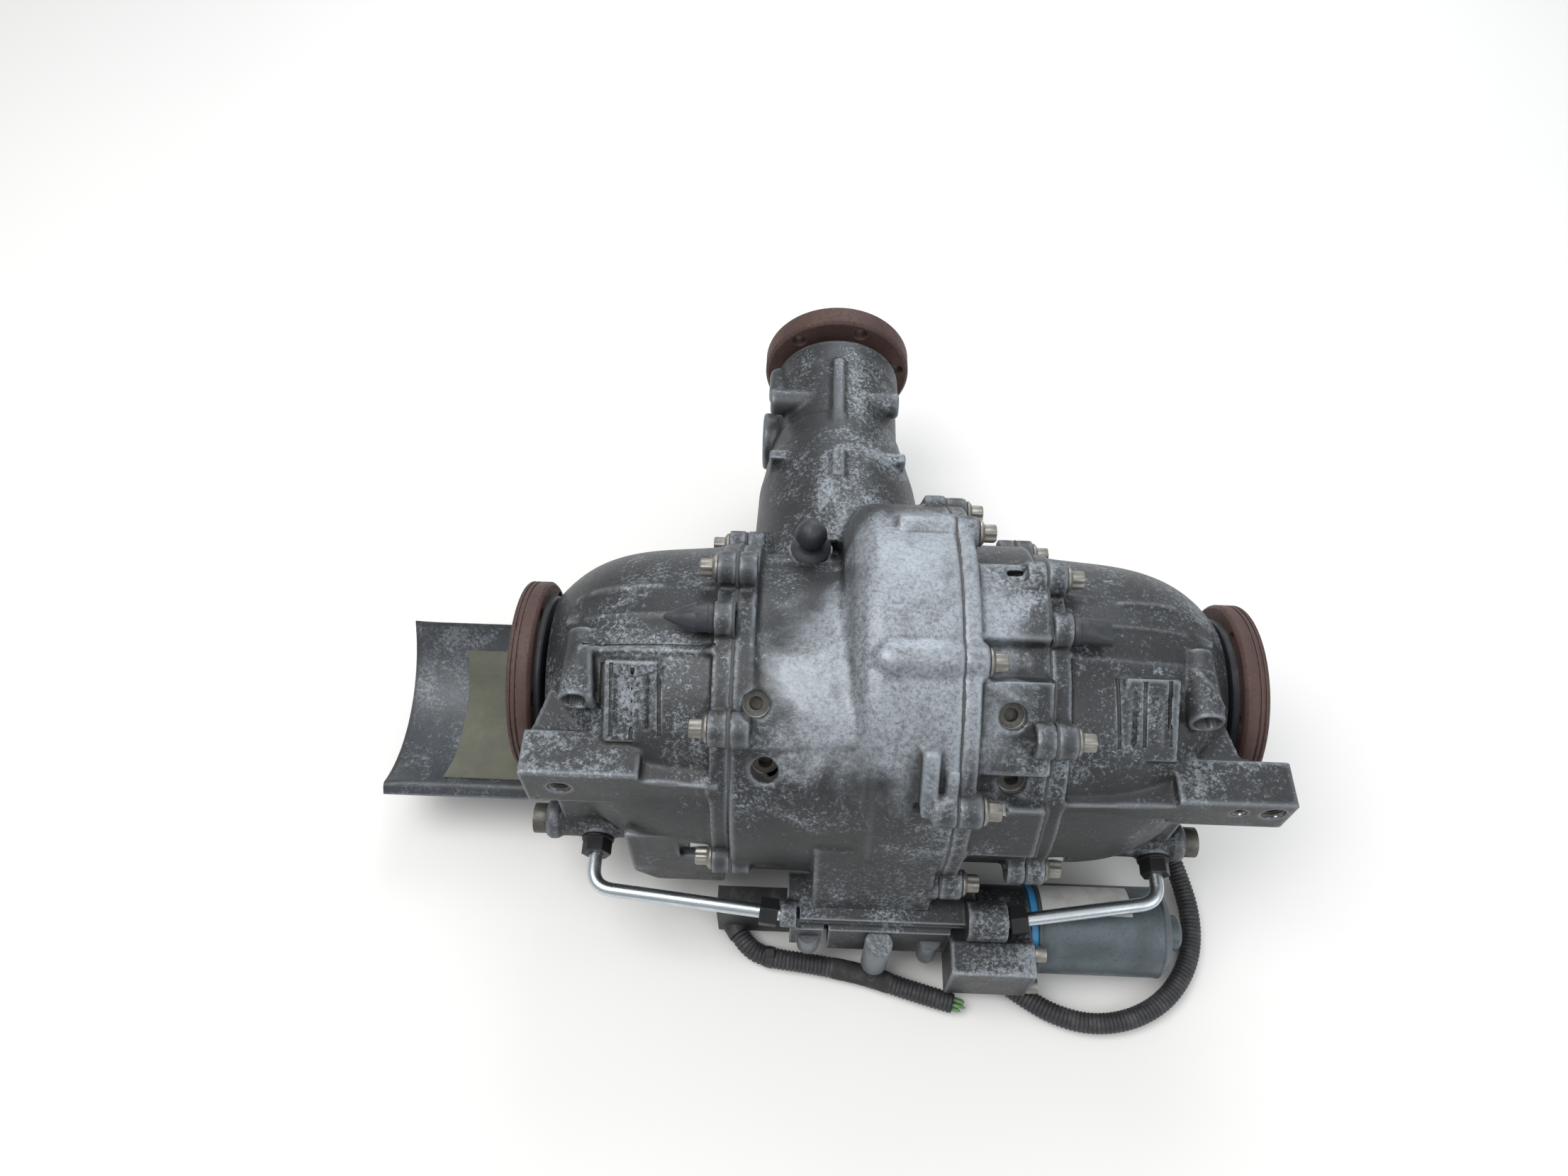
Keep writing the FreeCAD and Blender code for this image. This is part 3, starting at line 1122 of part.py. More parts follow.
def swept_tube(points, radii, radius):
    path = pipe_path(points, radii)
    ring = Part.Wire(Part.makeCircle(radius, points[0], points[1] - points[0]))
    shape = path.makePipeShell([ring], True, False)
    expected = math.pi * radius ** 2 * path.Length
    if abs(shape.Volume / expected - 1) > 0.02:
        raise ValueError("a swept tube has the wrong volume")
    return shape, path.Length


def oil_pipes():
    nuts = []
    for side, name, union_x, corner_y in ((LEFT, "left", d.left_union_end, d.left_corner_y),
                                          (RIGHT, "right", d.union_right, d.right_corner_y)):
        port_x = d.pipe_port_x.value * side
        port = Vector(port_x, -d.pipe_port_y.value, -d.pipe_port_z.value)
        corner = Vector(port_x, -corner_y.value, -d.pipe_port_z.value)
        end = Vector(union_x.value * side, -d.unit_y.value, -d.unit_z.value)
        shape, _ = swept_tube([port, corner, end], [d.pipe_bend.value], d.pipe_radius.value)
        solid_node(shape, name + "_oil_pipe")
        seat = -d.pipe_port_y
        across = d.pipe_port_x * side
        port_nut = hexagon("y", across, -d.pipe_port_z, seat - d.pipe_nut_height, seat, d.pipe_nut)
        collar = rod("y", across, -d.pipe_port_z, seat - 2, seat, d.pipe_nut + 0.6)
        hole = rod("y", across, -d.pipe_port_z, seat - 14, seat + 1, d.pipe_radius + 0.1)
        nuts.append(cut(fuse(port_nut, collar), hole))
        nuts.append(slanted_nut(end, (end - corner).normalize()))
    node(group(nuts), "pipe_nuts")


def slanted_nut(end, direction):
    """Union nut on a pipe that meets the unit at a slight angle."""
    length = d.pipe_nut_height.value
    prism = doc.addObject("Part::Prism", "hexagon")
    prism.Polygon = 6
    bind(prism, "Circumradius", d.pipe_nut - 0.5)
    bind(prism, "Height", d.pipe_nut_height)
    base = end - direction * (length + 1.5)
    put(prism, base.x, base.y, base.z, Rotation(Vector(0, 0, 1), direction))
    hole = doc.addObject("Part::Cylinder", "hole")
    bind(hole, "Radius", d.pipe_radius + 0.1)
    bind(hole, "Height", d.pipe_nut_height + 6)
    back = end - direction * (length + 4)
    put(hole, back.x, back.y, back.z, Rotation(Vector(0, 0, 1), direction))
    return cut(prism, hole)


def gallery_plugs():
    pieces = []
    for side in (LEFT, RIGHT):
        seat = gallery_mouth(side) - 2
        pieces.append(rod("x", -d.gallery_y, -d.gallery_z, seat * side, (seat + d.gallery_plug) * side, 9.4))
    node(group(pieces), "gallery_plugs")


# Heat shield

def sector(start, end, outer, inner, from_angle, to_angle):
    """Part of a sleeve about the axle between two angles from +Y."""
    start, end = size(start), size(end)
    pieces = []
    for radius, extra in ((outer, 0), (inner, 1)):
        thing = doc.addObject("Part::Cylinder", "sector")
        bind(thing, "Radius", radius)
        bind(thing, "Height", end - start + 2 * extra)
        spread = size(from_angle) - to_angle
        bind(thing, "Angle", spread if not extra else 360)
        turn = Rotation(Vector(1, 0, 0), size(to_angle).value).multiply(Rotation(Vector(0, 1, 0), 90))
        put(thing, start - extra, 0, 0, turn.multiply(Rotation(Vector(0, 0, 1), 90)))
        pieces.append(thing)
    return cut(*pieces)


def heat_shield():
    outer = d.shield_radius + d.shield_sheet
    trough = sector(-d.shield_left, -d.shield_right, outer, d.shield_radius, d.shield_front, d.shield_rear)
    angle = d.shield_rear.value
    lip = tilted_block(-d.shield_left, -d.shield_right, d.shield_sheet, d.shield_radius,
                       d.shield_radius + d.shield_lip, angle)
    holes = shield_rods(d.shield_radius - 3, d.shield_radius + 5, d.bolt_shank + 0.3)
    node(cut(fuse(trough, lip), *holes), "heat_shield")
    shanks = shield_rods(d.shield_radius - 14, outer + 1, d.bolt_shank)
    heads = shield_rods(outer + 0.2, outer + 5, d.shield_screw_head)
    node(group([fuse(shank, head) for shank, head in zip(shanks, heads)]), "shield_screws")
    pad = sector(-d.pad_left, -d.pad_right, d.shield_radius, d.shield_radius - d.pad_thickness,
                 d.pad_front, d.pad_rear)
    node(pad, "heat_shield_pad")


# Wiring

LOOP_ROUTE = ((190, -40, -72), (190, -40, -88), (201, -54, -100), (212, -78, -110), (216.5, -104, -112),
              (212.5, -129, -112), (202, -148, -112), (187, -163, -112), (166, -173.5, -112), (142, -177, -112),
              (119, -172, -112), (100, -161.5, -112), (84, -150.5, -112))
TRUNK_ROUTE = ((-84.5, -128.4, -112), (-78.4, -137.6, -112), (-64, -143, -112), (-38, -145.5, -112),
               (-2, -151, -112), (26, -160, -112), (54, -167, -112))


def corner_radii(route):
    """Largest tangent arcs that neighbouring runs allow."""
    radii = []
    for index in range(1, len(route) - 1):
        into, away = route[index] - route[index - 1], route[index + 1] - route[index]
        turn = into.getAngle(away)
        radii.append(0.45 * min(into.Length, away.Length) / math.tan(turn / 2))
    return radii


def cord(route, label):
    points = [Vector(*point) for point in route]
    radii = corner_radii(points)
    shape, length = swept_tube(points, radii, d.conduit_radius.value)
    print(label, "length", round(length), "radii", [round(r) for r in radii])
    return solid_node(shape, label)


def sleeve(end, away, length, radius):
    """Round connector end that a conduit leaves squarely."""
    thing = doc.addObject("Part::Cylinder", "sleeve")
    bind(thing, "Radius", radius)
    bind(thing, "Height", length)
    start = end - away * length
    put(thing, start.x, start.y, start.z, Rotation(Vector(0, 0, 1), away))
    return thing


def wiring():
    cord(LOOP_ROUTE, "wiring_loop")
    cord(TRUNK_ROUTE, "wiring_trunk")
    grip = d.conduit_radius + 0.8
    sensor_plug = rod("z", d.sensor_x, -d.sensor_y, -d.sensor_end, -d.sensor_seat, d.sensor_radius)
    loop_end, before = Vector(*LOOP_ROUTE[-1]), Vector(*LOOP_ROUTE[-2])
    loop_sleeve = sleeve(loop_end, (before - loop_end).normalize(), 12, grip)
    pump_plug = block(62, 78, -152, -132, -117, -d.pump_bottom)
    trunk_end, after = Vector(*TRUNK_ROUTE[0]), Vector(*TRUNK_ROUTE[1])
    trunk_sleeve = sleeve(trunk_end, (after - trunk_end).normalize(), 10, grip)
    left_plug = block(-99, -d.side_block_left, -124, -106, -117, -82)
    lower_plug = cut(fuse(pump_plug, loop_sleeve), pump_round_room())
    node(group([sensor_plug, lower_plug, fuse(left_plug, trunk_sleeve)]), "wiring_plugs")


def pump_round_room():
    """Space round the pump's round end, kept clear by the plug under it."""
    return rod("x", -d.motor_y, -d.motor_z, d.pump_left + 10, d.pump_right + 10, d.motor_radius + 1)


main_housing()
intermediate_housing()
side_cover(LEFT, d.left_parting, "left_side_cover", d.left_ear_in, d.left_ear_out, d.left_ear_hole)
side_cover(RIGHT, d.right_parting, "right_side_cover", d.right_ear_in, d.right_ear_out, d.right_ear_hole)
flange_bolts()
fill_plugs()
crown_wheel()
pinion_shaft()
input_flange()
pinion_parts()
differential_case()
ring_gear_bolts()
small_gears()
carrier_bearings()
output_side(LEFT, "left")
output_side(RIGHT, "right")
output_bearings()
shaft_seals()
breathers()
oil_unit()
oil_pipes()
gallery_plugs()
heat_shield()
wiring()

doc.recompute()
for thing in doc.Objects:
    if "Invalid" in thing.State or "Error" in thing.State:
        raise RuntimeError(f"{thing.Name} ({thing.Label}) failed: {thing.State}")
os.makedirs("parts", exist_ok=True)
for thing in nodes:
    if thing.Shape.isNull() or not thing.Shape.isValid():
        raise RuntimeError(f"{thing.Label} has no valid shape")
for thing in nodes:
    thing.Shape.exportStep(f"parts/{thing.Label}.step")
    box = thing.Shape.BoundBox
    print(f"{thing.Label}: {len(thing.Shape.Solids)} solids, {thing.Shape.Volume / 1000:.1f} cm3")
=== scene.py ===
import json
import math
import random

import bmesh
import bpy
from mathutils import Matrix, Vector
from mathutils.bvhtree import BVHTree

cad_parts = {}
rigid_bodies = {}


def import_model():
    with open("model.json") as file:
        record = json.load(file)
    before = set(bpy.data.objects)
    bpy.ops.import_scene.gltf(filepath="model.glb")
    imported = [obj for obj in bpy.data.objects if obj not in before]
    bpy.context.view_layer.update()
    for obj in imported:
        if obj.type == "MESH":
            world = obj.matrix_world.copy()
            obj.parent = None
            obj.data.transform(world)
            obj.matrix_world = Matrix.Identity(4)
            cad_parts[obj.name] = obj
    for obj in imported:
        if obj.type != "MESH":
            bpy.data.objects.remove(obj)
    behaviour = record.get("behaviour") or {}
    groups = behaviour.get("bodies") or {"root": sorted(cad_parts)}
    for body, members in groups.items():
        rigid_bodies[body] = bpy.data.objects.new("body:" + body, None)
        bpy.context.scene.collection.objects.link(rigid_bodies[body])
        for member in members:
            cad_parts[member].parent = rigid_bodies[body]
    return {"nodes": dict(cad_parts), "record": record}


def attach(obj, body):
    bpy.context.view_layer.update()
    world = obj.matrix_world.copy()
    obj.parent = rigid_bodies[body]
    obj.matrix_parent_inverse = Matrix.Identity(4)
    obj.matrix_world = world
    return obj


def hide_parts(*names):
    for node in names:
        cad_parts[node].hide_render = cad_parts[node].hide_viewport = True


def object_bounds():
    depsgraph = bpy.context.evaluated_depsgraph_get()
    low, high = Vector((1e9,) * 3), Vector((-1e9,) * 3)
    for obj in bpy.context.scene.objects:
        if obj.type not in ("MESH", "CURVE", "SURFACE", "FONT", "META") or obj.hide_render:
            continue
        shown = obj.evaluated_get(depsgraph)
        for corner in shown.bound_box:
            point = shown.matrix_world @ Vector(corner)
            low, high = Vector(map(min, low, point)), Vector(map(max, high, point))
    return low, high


for thing in list(bpy.data.objects):
    bpy.data.objects.remove(thing)
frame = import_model()
cad_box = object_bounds()
NODES = frame["nodes"]
random.seed(7)

# Tables are in millimetres about the axle centre, with angles in degrees from +Y, as in the part's source
MM = 0.001
AXLE_OFFSET, NOSE_LENGTH = 30, 290
LEFT_PARTING, CENTRE_PARTING, RIGHT_PARTING = 89, 37.5, 88.5
SIDE_BOLTS = ((101, 78.6), (111, 132.4), (92, 17.1), (110, 193.2), (107, 232), (103, 270), (97, 318))
CENTRE_BOLTS = ((112, 63.2), (110, 110.8), (118, 152.8), (120, 196), (118, 232), (106, 270), (116, 322),
                (112.5, 35))
BOLT_BOSS, JOINT_BOSS = 11.5, 14
LEFT, RIGHT = -1, 1
X, Y, Z = Vector((1, 0, 0)), Vector((0, 1, 0)), Vector((0, 0, 1))
WELD = 1e-6


def at(x, y, z):
    """A point given in millimetres about the axle centre, in the row frame in metres."""
    return Vector(((x + AXLE_OFFSET) * MM, (y - NOSE_LENGTH) * MM, z * MM))


def polar(radius, angle):
    """The y and z of a point at a radius and an angle from +Y."""
    return radius * math.cos(math.radians(angle)), radius * math.sin(math.radians(angle))


# Materials

class Shade:
    """One node material, built step by step."""

    def __init__(self, name):
        self.material = bpy.data.materials.new(name)
        self.material.use_nodes = True
        self.tree = self.material.node_tree
        self.shader = self.tree.nodes["Principled BSDF"]
        self.place = self.tree.nodes.new("ShaderNodeTexCoord").outputs["Object"]

    def link(self, source, socket):
        self.tree.links.new(source, socket)

    def feed(self, socket, value):
        if isinstance(value, bpy.types.NodeSocket):
            self.link(value, socket)
        elif isinstance(value, tuple):
            socket.default_value = (*value, 1.0)
        else:
            socket.default_value = value

    def noise(self, scale, detail=4.0, rough=0.6, warp=0.0, stretch=None):
        node = self.tree.nodes.new("ShaderNodeTexNoise")
        place = self.place
        if stretch:
            mapping = self.tree.nodes.new("ShaderNodeMapping")
            mapping.inputs["Scale"].default_value = stretch
            self.link(place, mapping.inputs["Vector"])
            place = mapping.outputs["Vector"]
        self.link(place, node.inputs["Vector"])
        node.inputs["Scale"].default_value = scale
        node.inputs["Detail"].default_value = detail
        node.inputs["Roughness"].default_value = rough
        node.inputs["Distortion"].default_value = warp
        return node.outputs["Fac"]

    def near(self, point, full, none):
        """One within a distance of a point, falling to nothing at a larger one."""
        node = self.tree.nodes.new("ShaderNodeVectorMath")
        node.operation = "DISTANCE"
        self.link(self.place, node.inputs[0])
        node.inputs[1].default_value = point
        return self.span(node.outputs["Value"], full, none, 1.0, 0.0)

    def waves(self, scale, axis="X", warp=0.0):
        node = self.tree.nodes.new("ShaderNodeTexWave")
        node.bands_direction = axis
        self.link(self.place, node.inputs["Vector"])
        node.inputs["Scale"].default_value = scale
        node.inputs["Distortion"].default_value = warp
        return node.outputs["Fac"]

    def edges(self):
        return self.tree.nodes.new("ShaderNodeNewGeometry").outputs["Pointiness"]

    def upward(self):
        """How far the surface faces up, from -1 to 1."""
        geometry = self.tree.nodes.new("ShaderNodeNewGeometry")
        split = self.tree.nodes.new("ShaderNodeSeparateXYZ")
        self.link(geometry.outputs["Normal"], split.inputs["Vector"])
        return split.outputs["Z"]

    def span(self, value, low, high, out_low=0.0, out_high=1.0):
        """Maps low..high to out_low..out_high, held at the ends."""
        node = self.tree.nodes.new("ShaderNodeMapRange")
        for name, number in (("From Min", low), ("From Max", high),
                             ("To Min", out_low), ("To Max", out_high)):
            node.inputs[name].default_value = number
        self.feed(node.inputs["Value"], value)
        return node.outputs["Result"]

    def sum(self, first, second, how="ADD"):
        node = self.tree.nodes.new("ShaderNodeMath")
        node.operation = how
        self.feed(node.inputs[0], first)
        self.feed(node.inputs[1], second)
        return node.outputs["Value"]

    def mix(self, share, first, second):
        node = self.tree.nodes.new("ShaderNodeMix")
        node.data_type = "RGBA"
        self.feed(node.inputs["Factor"], share)
        self.feed(node.inputs["A"], first)
        self.feed(node.inputs["B"], second)
        return node.outputs["Result"]

    def bump(self, height, distance, strength=1.0):
        node = self.tree.nodes.new("ShaderNodeBump")
        node.inputs["Strength"].default_value = strength
        node.inputs["Distance"].default_value = distance
        self.link(height, node.inputs["Height"])
        if self.shader.inputs["Normal"].links:
            self.link(self.shader.inputs["Normal"].links[0].from_socket, node.inputs["Normal"])
        self.link(node.outputs["Normal"], self.shader.inputs["Normal"])

    def set(self, **values):
        names = {"colour": "Base Color", "rough": "Roughness", "metal": "Metallic", "sheen": "Sheen Weight"}
        for key, value in values.items():
            self.feed(self.shader.inputs[names[key]], value)


def scaled(colour, factor):
    return tuple(c * factor for c in colour)


def cast_metal(name, film_tone, oxide, bare, grime_and_shade_tone):
    """Sand-cast aluminium: oily film with pale speckles and random bare patches, a painted highlight of bare
    metal on the barrel top, and painted shade in the hollows and on faces turned down.
    """
    s = Shade(name)
    regions = s.noise(19, 5, 0.6, 0.8)
    speckle = s.noise(430, 10, 0.78, 0.5)
    flecks = s.noise(1200, 4, 0.65)
    # Painted highlight: pale bare metal painted round two fixed points on the barrel top; clear mixes it with
    # the random bare patches
    highlight_patch = s.near(at(0, -42, 96), 0.035, 0.1)
    highlight_patch = s.sum(highlight_patch, s.near(at(8, 30, 108), 0.012, 0.055), "MAXIMUM")
    clear = s.span(s.sum(highlight_patch, s.span(regions, 0.3, 0.7, -0.35, 0.35)), 0.25, 0.7)
    patches = s.sum(speckle, s.span(regions, 0.32, 0.7, -0.1, 0.13))
    # Painted shade: darker in the hollows, where pointiness is low
    hollow_shade = s.span(s.edges(), 0.465, 0.497, 1.0, 0.0)
    rubbed = s.span(s.edges(), 0.505, 0.54)
    # Painted shade: darker on faces turned down
    underside_shade = s.span(s.upward(), -0.4, 0.6, 0.4, 0.0)
    soot = s.noise(48, 6, 0.7, 0.6)
    # dirt is real soot patches mixed with the painted shade of the hollows and the undersides
    dirt = s.span(s.sum(s.sum(soot, underside_shade), s.sum(hollow_shade, 0.3, "MULTIPLY")), 0.5, 0.85)
    film = s.mix(s.span(flecks, 0.35, 0.7), film_tone, scaled(film_tone, 0.6))
    spotted = s.mix(s.span(patches, 0.53, 0.66, 0.0, 0.9), film, oxide)
    metal = s.mix(s.span(speckle, 0.38, 0.56), scaled(bare, 0.45), bare)
    mottled = s.mix(clear, spotted, metal)
    # The dark tone mixed in here is real grime and painted shade together
    dull = s.mix(s.sum(dirt, 0.85, "MULTIPLY"), mottled, grime_and_shade_tone)
    worn = s.mix(s.sum(rubbed, 0.35, "MULTIPLY"), dull, scaled(oxide, 1.25))
    s.set(colour=worn, metal=s.span(dirt, 0.0, 1.0, 0.55, 0.2), rough=s.span(patches, 0.4, 0.62, 0.38, 0.6))
    s.bump(s.noise(900, 4, 0.6), 0.00022, 0.8)
    s.bump(s.noise(140, 4, 0.6), 0.0004, 0.5)
    return s.material


def turned_metal(name, colour, rough, metal=0.9, speck=0.25, grain=900.0, bump=0.00008):
    """Machined or ground metal with fine variation."""
    s = Shade(name)
    tone = s.noise(70, 5, 0.65)
    fine = s.noise(grain, 4, 0.6)
    shade = s.mix(s.span(tone, 0.3, 0.7), colour, scaled(colour, 1 - speck))
    s.set(colour=s.mix(s.span(fine, 0.45, 0.75, 0.0, 0.5), shade, scaled(colour, 0.6)),
          metal=metal, rough=s.span(tone, 0.3, 0.7, rough * 0.85, min(1.0, rough * 1.25)))
    s.bump(fine, bump)
    return s.material


def rusted(name, skin, scale_tone, bright):
    """Brown rust film over turned steel, pitted and scratched."""
    s = Shade(name)
    broad = s.noise(36, 6, 0.7, 0.4)
    pits = s.noise(520, 6, 0.7)
    tone = s.mix(s.span(broad, 0.35, 0.66), skin, scale_tone)
    pitted = s.mix(s.span(pits, 0.5, 0.68, 0.0, 0.75), tone, scaled(skin, 0.42))
    rubbed = s.sum(s.span(s.edges(), 0.52, 0.58), s.span(pits, 0.4, 0.6), "MULTIPLY")
    s.set(colour=s.mix(s.sum(rubbed, 0.55, "MULTIPLY"), pitted, bright), metal=0.25,
          rough=s.span(pits, 0.35, 0.7, 0.52, 0.8))
    s.bump(pits, 0.00025, 0.9)
    s.bump(broad, 0.0005, 0.4)
    return s.material


def moulded(name, colour, rough, dust=(0.16, 0.15, 0.14), grain=700.0, bump=0.00012):
    """Rubber or plastic with a fine grain and a little dust on its upper side."""
    s = Shade(name)
    fine = s.noise(grain, 4, 0.6)
    patches = s.span(s.noise(110, 6, 0.7), 0.48, 0.74)
    dusty = s.sum(patches, s.span(s.upward(), 0.1, 1.0, 0.1, 0.5), "MULTIPLY")
    s.set(colour=s.mix(dusty, s.mix(fine, colour, scaled(colour, 1.5)), dust),
          rough=s.span(fine, 0.3, 0.7, rough, min(1.0, rough + 0.15)))
    s.bump(fine, bump)
    return s.material


def plated(name):
    """Bright zinc plate with a faint blue cast and dull spots."""
    s = Shade(name)
    broad = s.noise(45, 5, 0.6)
    spots = s.noise(700, 5, 0.7)
    tone = s.mix(s.span(broad, 0.35, 0.7), (0.62, 0.68, 0.72), (0.48, 0.53, 0.56))
    s.set(colour=s.mix(s.span(spots, 0.58, 0.7, 0.0, 0.6), tone, (0.28, 0.29, 0.29)), metal=1.0,
          rough=s.span(broad, 0.3, 0.7, 0.2, 0.36))
    s.bump(s.noise(1500, 2, 0.5, 0.0, (1.0, 9.0, 9.0)), 0.00003)
    return s.material


def fibre_pad(name):
    """Olive-grey insulating pad: woven skin, stained."""
    s = Shade(name)
    weave = s.sum(s.waves(330, "X", 0.6), s.waves(330, "Y", 0.6), "MULTIPLY")
    stain = s.noise(38, 6, 0.7)
    tone = s.mix(s.span(stain, 0.35, 0.68), (0.125, 0.13, 0.098), (0.082, 0.087, 0.068))
    s.set(colour=s.mix(s.span(weave, 0.1, 0.9, 0.0, 0.35), tone, (0.17, 0.175, 0.14)), rough=0.85, sheen=0.15)
    s.bump(weave, 0.00025, 0.7)
    return s.material


def bare_plate(name):
    """Plain pale plate on the motor, a little stained."""
    s = Shade(name)
    stain = s.noise(90, 6, 0.7)
    s.set(colour=s.mix(s.span(stain, 0.45, 0.75, 0.0, 0.7), (0.55, 0.56, 0.55), (0.3, 0.3, 0.29)),
          rough=s.span(stain, 0.3, 0.7, 0.35, 0.6))
    s.bump(s.noise(600, 3, 0.6), 0.00005)
    return s.material


def painted(name, colour):
    """Grey-blue paint on the motor can, speckled with dirt."""
    s = Shade(name)
    broad = s.noise(42, 5, 0.6, 0.4)
    speck = s.noise(620, 6, 0.7)
    tone = s.mix(s.span(broad, 0.35, 0.68), colour, scaled(colour, 0.62))
    s.set(colour=s.mix(s.span(speck, 0.54, 0.66, 0.0, 0.65), tone, (0.05, 0.055, 0.05)), metal=0.35,
          rough=s.span(broad, 0.3, 0.7, 0.38, 0.55))
    s.bump(speck, 0.0001, 0.6)
    return s.material


MATERIALS = {
    "cast_aluminium": cast_metal("cast_aluminium", (0.058, 0.062, 0.067), (0.31, 0.345, 0.38),
                                 (0.34, 0.375, 0.415), (0.020, 0.020, 0.019)),
    "shield_aluminium": cast_metal("shield_sheet", (0.085, 0.095, 0.108), (0.24, 0.265, 0.29),
                                   (0.2, 0.2, 0.2), (0.035, 0.036, 0.036)),
    "rusted_steel": rusted("rusted_steel", (0.062, 0.034, 0.031), (0.092, 0.051, 0.043), (0.22, 0.17, 0.15)),
    "bolt_steel": turned_metal("bolt_steel", (0.36, 0.35, 0.32), 0.42, 0.8, 0.45, 600, 0.00015),
    "gear_steel": turned_metal("gear_steel", (0.50, 0.50, 0.51), 0.25),
    "bearing_steel": turned_metal("bearing_steel", (0.62, 0.62, 0.63), 0.16),
    "case_iron": turned_metal("case_iron", (0.22, 0.22, 0.23), 0.6, 0.6, 0.35, 500, 0.0003),
    "machined_steel": turned_metal("machined_steel", (0.46, 0.46, 0.47), 0.3),
    "friction_lining": moulded("friction_lining", (0.20, 0.15, 0.10), 0.85),
    "black_rubber": moulded("black_rubber", (0.022, 0.025, 0.031), 0.42, (0.09, 0.09, 0.09)),
    "plug_steel": turned_metal("plug_steel", (0.17, 0.165, 0.15), 0.5, 0.8, 0.5, 500, 0.0002),
    "motor_paint": painted("motor_paint", (0.11, 0.14, 0.158)),
    "blue_seal": moulded("blue_seal", (0.03, 0.22, 0.46), 0.4),
    "plated_pipe": plated("plated_pipe"),
    "black_nut": turned_metal("black_nut", (0.045, 0.046, 0.05), 0.42, 0.7, 0.4, 500, 0.0001),
    "shield_pad": fibre_pad("shield_pad"),
    "conduit_plastic": moulded("conduit_plastic", (0.022, 0.023, 0.026), 0.5, (0.17, 0.165, 0.16)),
    "black_plastic": moulded("black_plastic", (0.018, 0.019, 0.021), 0.45, (0.14, 0.135, 0.13)),
}
MACHINED = turned_metal("machined_aluminium", (0.56, 0.57, 0.58), 0.3, 0.95, 0.35, 800, 0.0001)
RUSTED_BOLT = rusted("rusted_bolt", (0.15, 0.082, 0.05), (0.23, 0.135, 0.085), (0.4, 0.34, 0.29))
SEALANT = moulded("sealant", (0.05, 0.05, 0.052), 0.6)
BARE_PLATE = bare_plate("bare_plate")
TAPE = moulded("cloth_tape", (0.02, 0.02, 0.022), 0.72, (0.12, 0.115, 0.11), 1100, 0.0002)
WIRE_COLOURS = [moulded(f"wire_{i}", colour, 0.4) for i, colour in enumerate(
    ((0.10, 0.20, 0.08), (0.30, 0.27, 0.12), (0.13, 0.07, 0.04), (0.04, 0.05, 0.10), (0.35, 0.35, 0.33)))]
COPPER = turned_metal("copper", (0.62, 0.28, 0.14), 0.35)


# Mesh helpers

def linked(name, data):
    """A new object in the scene."""
    thing = bpy.data.objects.new(name, data)
    bpy.context.scene.collection.objects.link(thing)
    return thing


def add(name, mesh, material, body="housing", smooth=35):
    """Links a finished mesh as a piece that rides on a body."""
    piece = linked(name, mesh)
    mesh.materials.clear()
    for one in material if isinstance(material, list) else [material]:
        mesh.materials.append(one)
    mesh.polygons.foreach_set("use_smooth", [True] * len(mesh.polygons))
    mesh.set_sharp_from_angle(angle=math.radians(smooth))
    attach(piece, body)
    return piece


def mesh_of(bm, name):
    bmesh.ops.recalc_face_normals(bm, faces=bm.faces)
    mesh = bpy.data.meshes.new(name)
    bm.to_mesh(mesh)
    bm.free()
    return mesh


def skin(bm, rings, caps=True, index=0):
    """Faces between closed rings of points, each ring with the same count."""
    rows = [[bm.verts.new(point) for point in ring] for ring in rings]
    count = len(rows[0])
    made = []
    for first, second in zip(rows, rows[1:]):
        for i in range(count):
            j = (i + 1) % count
            made.append(bm.faces.new((first[i], first[j], second[j], second[i])))
    if caps:
        made.append(bm.faces.new(rows[0]))
        made.append(bm.faces.new(rows[-1]))
    for face in made:
        face.material_index = index


def sheet(layers):
    """Closed sheet between two grids of points of the same size."""
    bm = bmesh.new()
    grids = [[[bm.verts.new(point) for point in row] for row in grid] for grid in layers]
    columns, rows = len(grids[0]) - 1, len(grids[0][0]) - 1
    for grid in grids:
        for i in range(columns):
            for j in range(rows):
                bm.faces.new((grid[i][j], grid[i + 1][j], grid[i + 1][j + 1], grid[i][j + 1]))
    lower, upper = grids
    for i in range(columns):
        for j in (0, rows):
            bm.faces.new((lower[i][j], lower[i + 1][j], upper[i + 1][j], upper[i][j]))
    for j in range(rows):
        for i in (0, columns):
            bm.faces.new((lower[i][j], lower[i][j + 1], upper[i][j + 1], upper[i][j]))
    return bm


def frame_of(direction):
    """Two unit vectors square to a direction."""
    direction = direction.normalized()
    helper = Z if abs(direction.z) < 0.9 else Y
    side = direction.cross(helper).normalized()
    return side, direction.cross(side).normalized()


def spoke(side, up, turn):
    """The direction a turn away from side towards up."""
    return side * math.cos(turn) + up * math.sin(turn)


def turned(bm, start, direction, profile, segments=48, lobes=None, index=0, caps=True):
    """Turned solid: profile points are (distance, radius) in mm; lobes shapes the rim of some points."""
    direction = direction.normalized()
    side, up = frame_of(direction)
    rings = []
    for number, (distance, radius) in enumerate(profile):
        centre = start + direction * distance * MM
        ring = []
        for i in range(segments):
            turn = 2 * math.pi * i / segments
            reach = radius * (lobes(number, turn) if lobes else 1.0)
            ring.append(centre + spoke(side, up, turn) * reach * MM)
        rings.append(ring)
    skin(bm, rings, caps=caps, index=index)


def sweep(bm, path, radii, segments, index=0):
    """Tube along a path of points in metres, with a radius in mm at each."""
    rings = []
    tangent = (path[1] - path[0]).normalized()
    side, up = frame_of(tangent)
    for i, point in enumerate(path):
        ahead = path[min(i + 1, len(path) - 1)] - path[max(i - 1, 0)]
        turn = tangent.rotation_difference(ahead.normalized())
        side, up = turn @ side, turn @ up
        tangent = ahead.normalized()
        rings.append([point + spoke(side, up, 2 * math.pi * k / segments) * radii[i] * MM
                      for k in range(segments)])
    skin(bm, rings, index=index)


